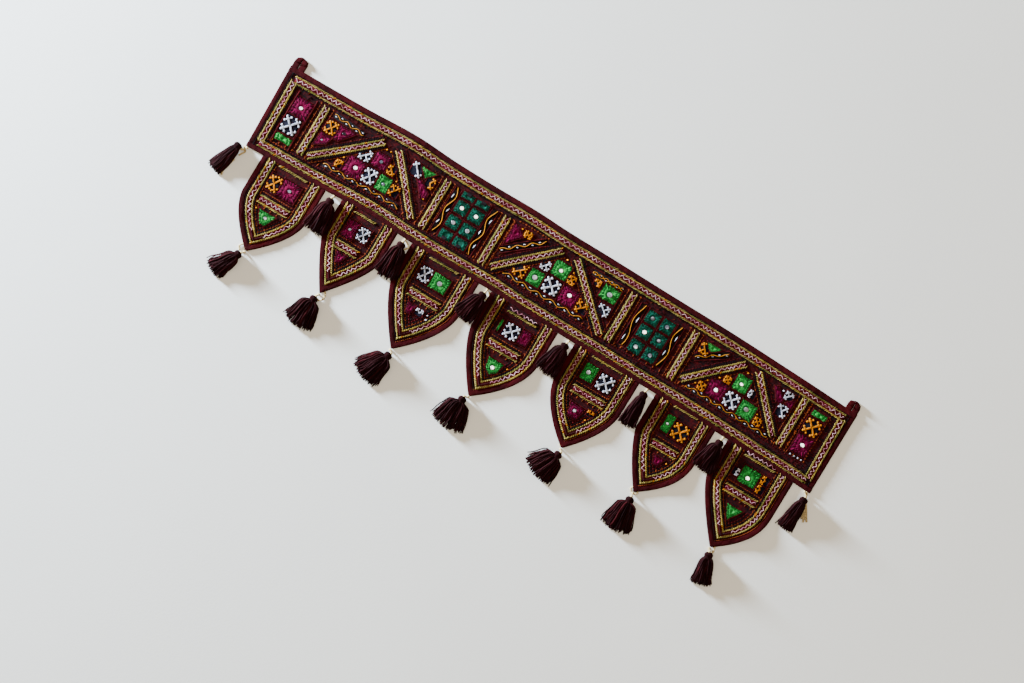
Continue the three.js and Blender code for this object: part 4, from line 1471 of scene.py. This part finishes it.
def skirt(threads, row):
    """Loose lengths of yarn that swell below the neck and then lie nearly straight."""
    half_spread = np.radians((row["spread"][1] - row["spread"][0]) / 2)
    reach = row["length"] * np.sin(half_spread)
    share = np.linspace(-1, 1, STRANDS) + chance.normal(0, 0.07, STRANDS)
    chance.shuffle(share)
    level = np.linspace(0, 1, STRANDS)
    length = row["length"] * chance.uniform(0.88, 1.0, STRANDS) * (1 - 0.05 * level)
    t = STRAND_STATIONS
    side = share[:, None]
    root = NECK_HALF * side * np.sqrt(1 - (level[:, None] * 2 - 1) ** 2 * 0.7)
    shoulder = max(reach * SHOULDER_SHARE, NECK_HALF + 1)
    swell = 1 - (1 - np.clip(t / 0.2, 0, 1)) ** 2.4
    narrower = 1 - 0.18 * level[:, None] ** 2
    x = root * (1 - swell) + side * (shoulder * swell + (reach - shoulder) * t) * narrower
    wriggle = chance.uniform(0, 6.28, (STRANDS, 1))
    pace = chance.uniform(5, 11, (STRANDS, 1))
    x = x + np.sin(t * pace + wriggle) * t * 1.1
    endings = -np.sqrt(np.maximum(length[:, None] ** 2 - (side * reach) ** 2, 400))
    y = -KNOB_LENGTH + 0.6 + (endings + KNOB_LENGTH - 0.6) * t
    z_root = TASSEL_MIDDLE + (level[:, None] * 2 - 1) * NECK_HALF * 0.8
    z_end = 0.75 + 5.2 * level[:, None] * (1 - 0.5 * side**2)
    settle = np.clip(t * 1.25, 0, 1)
    z = z_root + (z_end - z_root) * settle + 1.6 * np.sin(np.pi * np.clip(t * 1.4, 0, 1)) * level[:, None]
    z = np.maximum(z + np.sin(t * pace * 0.8 + wriggle * 2) * 0.35, 0.7)
    placed = on_floor(row)(np.stack([x, y, z], axis=2).reshape(-1, 3)) * 1000
    below = tongue_top(placed[:, 0], placed[:, 1]).reshape(x.shape)
    clear = below + YARN_CLEARANCE + YARN_DEPTH * level[:, None]
    z = np.where(below > 0, np.maximum(z, clear), z)
    paths = np.stack([x, y, z], axis=2)
    thick = chance.uniform(0.8, 1.12, (STRANDS, 1))
    tone = np.where(chance.uniform(0, 1, (STRANDS, 1)) > 0.88, YARN_RED, YARN)
    tone = tone * np.exp(chance.normal(0, 0.28, (STRANDS, 1)))
    threads.lay(paths, thick, thick * 0.85, tone, STRAND_TAPER)


def tassel(name, row):
    threads = Threads()
    knob(threads)
    neck_wraps(threads)
    skirt(threads, row)
    return threads.made(f"{name}_yarn", YARN_THREAD, "yarn", [name], on_floor(row))


def bezier(points, count):
    t = np.linspace(0, 1, count)[:, None]
    first, second, third, fourth = [np.asarray(point, float) for point in points]
    near = (1 - t) ** 3 * first + 3 * (1 - t) ** 2 * t * second
    return near + 3 * (1 - t) * t**2 * third + t**3 * fourth


def tassel_point(row, x, y):
    return on_floor(row)([(x, y, TASSEL_MIDDLE)])[0] * 1000


def twisted(threads, path, half):
    """Plies of thread wound round one another along a path."""
    run = distances(path)
    count = max(8, int(run[-1] / 0.8))
    at = np.linspace(0, run[-1], count)
    line = along_line(path, at, run)
    along = unit(np.gradient(line, axis=0))
    side = unit(np.cross(along, (0.02, 0.01, 1)))
    top = np.cross(side, along)
    for ply in range(TIE_PLIES):
        turn = (at / TIE_PITCH + ply / TIE_PLIES) * 2 * np.pi
        offset = (side * np.cos(turn)[:, None] + top * np.sin(turn)[:, None]) * half * 0.9
        threads.lay((line + offset)[None], half, half, shades(CREAM, 1, 0.06))


def tie_path(row, from_x, drop, to=(0, 0.3), out=(0, 1)):
    """From the cloth's edge, straight down and level, to the tassel's head."""
    start = np.array([from_x, BAND_FOOT - drop + rise(np.float64(from_x)) - SEAM_GAP, 1.5])
    end = tassel_point(row, *to)
    slack = np.linalg.norm(end - start) * TIE_SLACK
    leaving = start - np.array([0, slack, 0])
    arriving = tassel_point(row, to[0] + out[0] * slack, to[1] + out[1] * slack)
    return bezier([start, leaving, arriving, end], 30)


def lying(pairs):
    """A loose thread through places read from the photograph, smoothed."""
    flat = np.array([from_photo(*pair) for pair in pairs])
    flat[:, 1] += rise(flat[:, 0])
    x, y = along_line(flat, np.linspace(0, 1, 34), np.linspace(0, 1, len(flat))).T
    soft = np.array([0.25, 0.5, 0.25])
    for _ in range(6):
        x[1:-1] = np.convolve(x, soft, "valid")
        y[1:-1] = np.convolve(y, soft, "valid")
    return np.column_stack([x, y, 0 * x + LOOSE_END_HEIGHT])


# Loose ends and loops of the ties, through places read from the photograph
LOOSE_ENDS = {
    "tip_tie_1": [[(-285, -121), (-289, -126), (-286, -130)], [(-283, -121), (-279, -127)]],
    "tip_tie_2": [[(-196, -120), (-191, -122), (-189, -128), (-192, -132), (-196, -131)]],
    "tip_tie_4": [[(-15, -127), (-12, -131), (-15, -136)]],
    "tip_tie_5": [[(91, -125), (87, -128), (90, -131), (93, -128)]],
    "tip_tie_6": [[(175, -125), (171, -130), (175, -134), (180, -132), (178, -128)]],
    "tip_tie_7": [[(268, -132), (274, -137), (275, -143), (271, -145), (269, -140)]],
    "between_tie_3": [[(-52, -36), (-48, -41), (-51, -45)]],
    "between_tie_2": [[(-149, -36), (-143, -40), (-147, -45)]],
    "end_tie_left": [
        [(-335, -38.5), (-331.5, -43), (-335, -49)], [(-337, -55), (-342, -64), (-340, -75)],
        [(-337, -55), (-340, -66), (-344, -74)], [(-337, -56), (-343, -64), (-347, -71)],
    ],
    "end_tie_right": [
        [(321, -39), (326, -46), (323, -52)], [(327, -50), (331, -58), (333, -68)],
        [(327, -50), (333, -59), (336, -70)], [(328, -51), (334, -60), (339, -68)],
    ],
}


def tie(name, path):
    threads = Threads()
    twisted(threads, path, 0.8)
    for knot_at in (0.12, 0.9):
        middle = path[int(knot_at * (len(path) - 1))]
        turns = np.linspace(0, 3 * 2 * np.pi, 36)
        ring = np.column_stack([np.cos(turns) * 1.7, turns * 0.12 - 1.1, np.sin(turns) * 1.3])
        threads.lay((ring + middle)[None], 0.75, 0.65, shades(CREAM, 1, 0.05))
    for pairs in LOOSE_ENDS.get(name, []):
        line = lying(pairs)
        for shift in (-0.6, 0.6):
            twisted(threads, line + np.array([shift, shift * 0.6, 0.2]), 0.62)
    return threads.made(f"{name}_thread", TIE_THREAD, "thread", [name], in_metres)


def tassels_and_ties():
    for i, row in enumerate(TIP_TASSELS):
        tassel(f"tip_tassel_{i + 1}", row)
        pendant = PENDANTS[i]
        tie(f"tip_tie_{i + 1}", tie_path(row, pendant["tip"], pendant["length"]))
    for i, row in enumerate(BETWEEN_TASSELS):
        tassel(f"between_tassel_{i + 1}", row)
        tie(f"between_tie_{i + 1}", tie_path(row, row["x"] + 1, 0))
    left, right = END_TASSELS
    tassel("end_tassel_left", left)
    tassel("end_tassel_right", right)
    tie("end_tie_left", tie_path(left, -502.5, 0, (5.5, -4), (1, 0)))
    tie("end_tie_right", tie_path(right, 500, 0))


# Hanging loops


def hanging_loop(name, row):
    """A folded tape carried up, over and down again beside itself."""
    foot = BAND_TOP - 1.5
    top = BAND_TOP + SEAM_GAP + row["height"]
    eye_top = top - 4.2
    eye_foot = eye_top - 9
    middle = row["x"]
    peak = middle + row["peak"]
    shoulder = LOOP_HALF * 0.86
    slit = row["slit"]
    outer = [
        (middle - LOOP_HALF, foot), (middle - LOOP_HALF, top - 9), (middle - shoulder, top - 3.6),
        (peak - 3, top - 0.5), (peak, top), (peak + 3, top - 0.5), (middle + shoulder, top - 3.6),
        (middle + LOOP_HALF, top - 9), (middle + LOOP_HALF, foot),
    ]
    inner = [
        (middle - 0.2, foot), (middle - 0.2, eye_foot - 1), (middle - slit, eye_foot + 3),
        (middle - slit * 0.8, eye_top - 0.8), (middle, eye_top), (middle + slit * 0.8, eye_top - 0.8),
        (middle + slit, eye_foot + 3), (middle + 0.2, eye_foot - 1), (middle + 0.2, foot),
    ]

    def rolled(flat):
        """The top rolls over towards the face and leaves a crease under the roll."""
        above = flat[:, 1] - (BAND_TOP + row["crease"])
        return 1.3 / (1 + np.exp(-2.2 * above)) - 1.5 * np.exp(-((above + 0.4) ** 2) / 0.9)

    return folded_strip(name, "tape", (outer, inner), 96, LOOP_THICKNESS, rolled)


# The floor, the light and the camera


FLOOR_SIZE = 12
ROOM_TINT = (1, 0.83, 0.58, 1)
ROOM_STRENGTH = 0.72
AIM = (0, -0.1, 0)
WINDOW = dict(place=(-3.0, 0.35, 0.4), size=0.45, power=1150, colour=(0.74, 0.88, 1))
CEILING = dict(place=(0.15, 0.2, 4.3), size=1.3, power=50, colour=(1, 0.93, 0.82))
LENS = 85
SENSOR_WIDTH = 36
CAMERA_PLACE = (-0.0021, -0.1182, 3.70)


def floor():
    bpy.ops.object.select_all(action="DESELECT")
    bpy.ops.mesh.primitive_plane_add(size=FLOOR_SIZE, location=(0, 0, 0))
    plane = bpy.context.object
    plane.name = "pale_floor"
    plane.data.materials.append(floor_finish())


def area_light(name, place, size, power, colour):
    light = bpy.data.lights.new(name, "AREA")
    light.shape = "DISK"
    light.size = size
    light.energy = power
    light.color = colour
    lamp = bpy.data.objects.new(name, light)
    bpy.context.scene.collection.objects.link(lamp)
    lamp.location = place
    ray = np.asarray(AIM) - np.asarray(place)
    lamp.rotation_euler = Vector(ray).to_track_quat("-Z", "Y").to_euler()


def lights():
    world = bpy.data.worlds.new("soft_room")
    bpy.context.scene.world = world
    world.use_nodes = True
    backdrop = world.node_tree.nodes["Background"]
    backdrop.inputs["Color"].default_value = ROOM_TINT
    backdrop.inputs["Strength"].default_value = ROOM_STRENGTH
    area_light("window", **WINDOW)
    area_light("ceiling", **CEILING)


def camera():
    view = bpy.data.cameras.new("camera")
    view.lens = LENS
    view.sensor_width = SENSOR_WIDTH
    seat = bpy.data.objects.new("camera", view)
    bpy.context.scene.collection.objects.link(seat)
    seat.location = CAMERA_PLACE
    seat.rotation_euler = (0, 0, PHOTO_TURN)
    bpy.context.scene.camera = seat


# Everything together


DARNS = 2400


def embroidered_band():
    cloth = band_cloth()
    trims = band_bindings()
    mirrors = []
    borders = Threads()
    seam_stitches(borders)
    band_border(borders)
    field_strips(borders)
    trims.append(borders.made("band_strips", EMBROIDERY_THREAD, "embroidery"))
    motifs = Threads()
    tick_rows(motifs)
    waves(motifs)
    squares(motifs, mirrors)
    crosses(motifs)
    cell_grids(motifs, mirrors)
    field_lines(motifs)
    trims.append(motifs.made("band_motifs", EMBROIDERY_THREAD, "embroidery"))
    filling = Threads()
    darning(filling, DARNS, dict(x=(LEFT_END + 24, RIGHT_END - 24), y=(BAND_FOOT + 22, BAND_TOP - 24)))
    trims.append(filling.made("band_darning", EMBROIDERY_THREAD, "embroidery"))
    trims.append(mirrors_made("band_mirrors", mirrors))
    trims.append(hanging_loop("loop_left", LOOPS["loop_left"]))
    trims.append(hanging_loop("loop_right", LOOPS["loop_right"]))


def embroidered_tongue(i, pendant):
    cloth = pendant_cloth(i, pendant)
    trims = [pendant_binding(i, pendant)]
    mirrors = []
    threads = Threads()
    pendant_strips(threads, i, pendant)
    pendant_cross_strips(threads, i)
    pendant_motifs(threads, mirrors, i)
    pendant_lower_point(threads, i, pendant)
    trims.append(threads.made(f"pendant_{i + 1}_stitches", EMBROIDERY_THREAD, "embroidery"))
    if mirrors:
        trims.append(mirrors_made(f"pendant_{i + 1}_mirrors", mirrors))
    y = np.linspace(BAND_FOOT - pendant["length"], BAND_FOOT, 200)
    widths = side_x(pendant, 1, y, TUCK) - side_x(pendant, 0, y, TUCK)
    area = float(np.maximum(widths, 0).mean() * pendant["length"]) / 1e6
    flat = ((pendant["right"] - pendant["left"]) / 1000, pendant["length"] / 1000)


embroidered_band()
for number, tongue in enumerate(PENDANTS):
    embroidered_tongue(number, tongue)
tassels_and_ties()
floor()
lights()
camera()
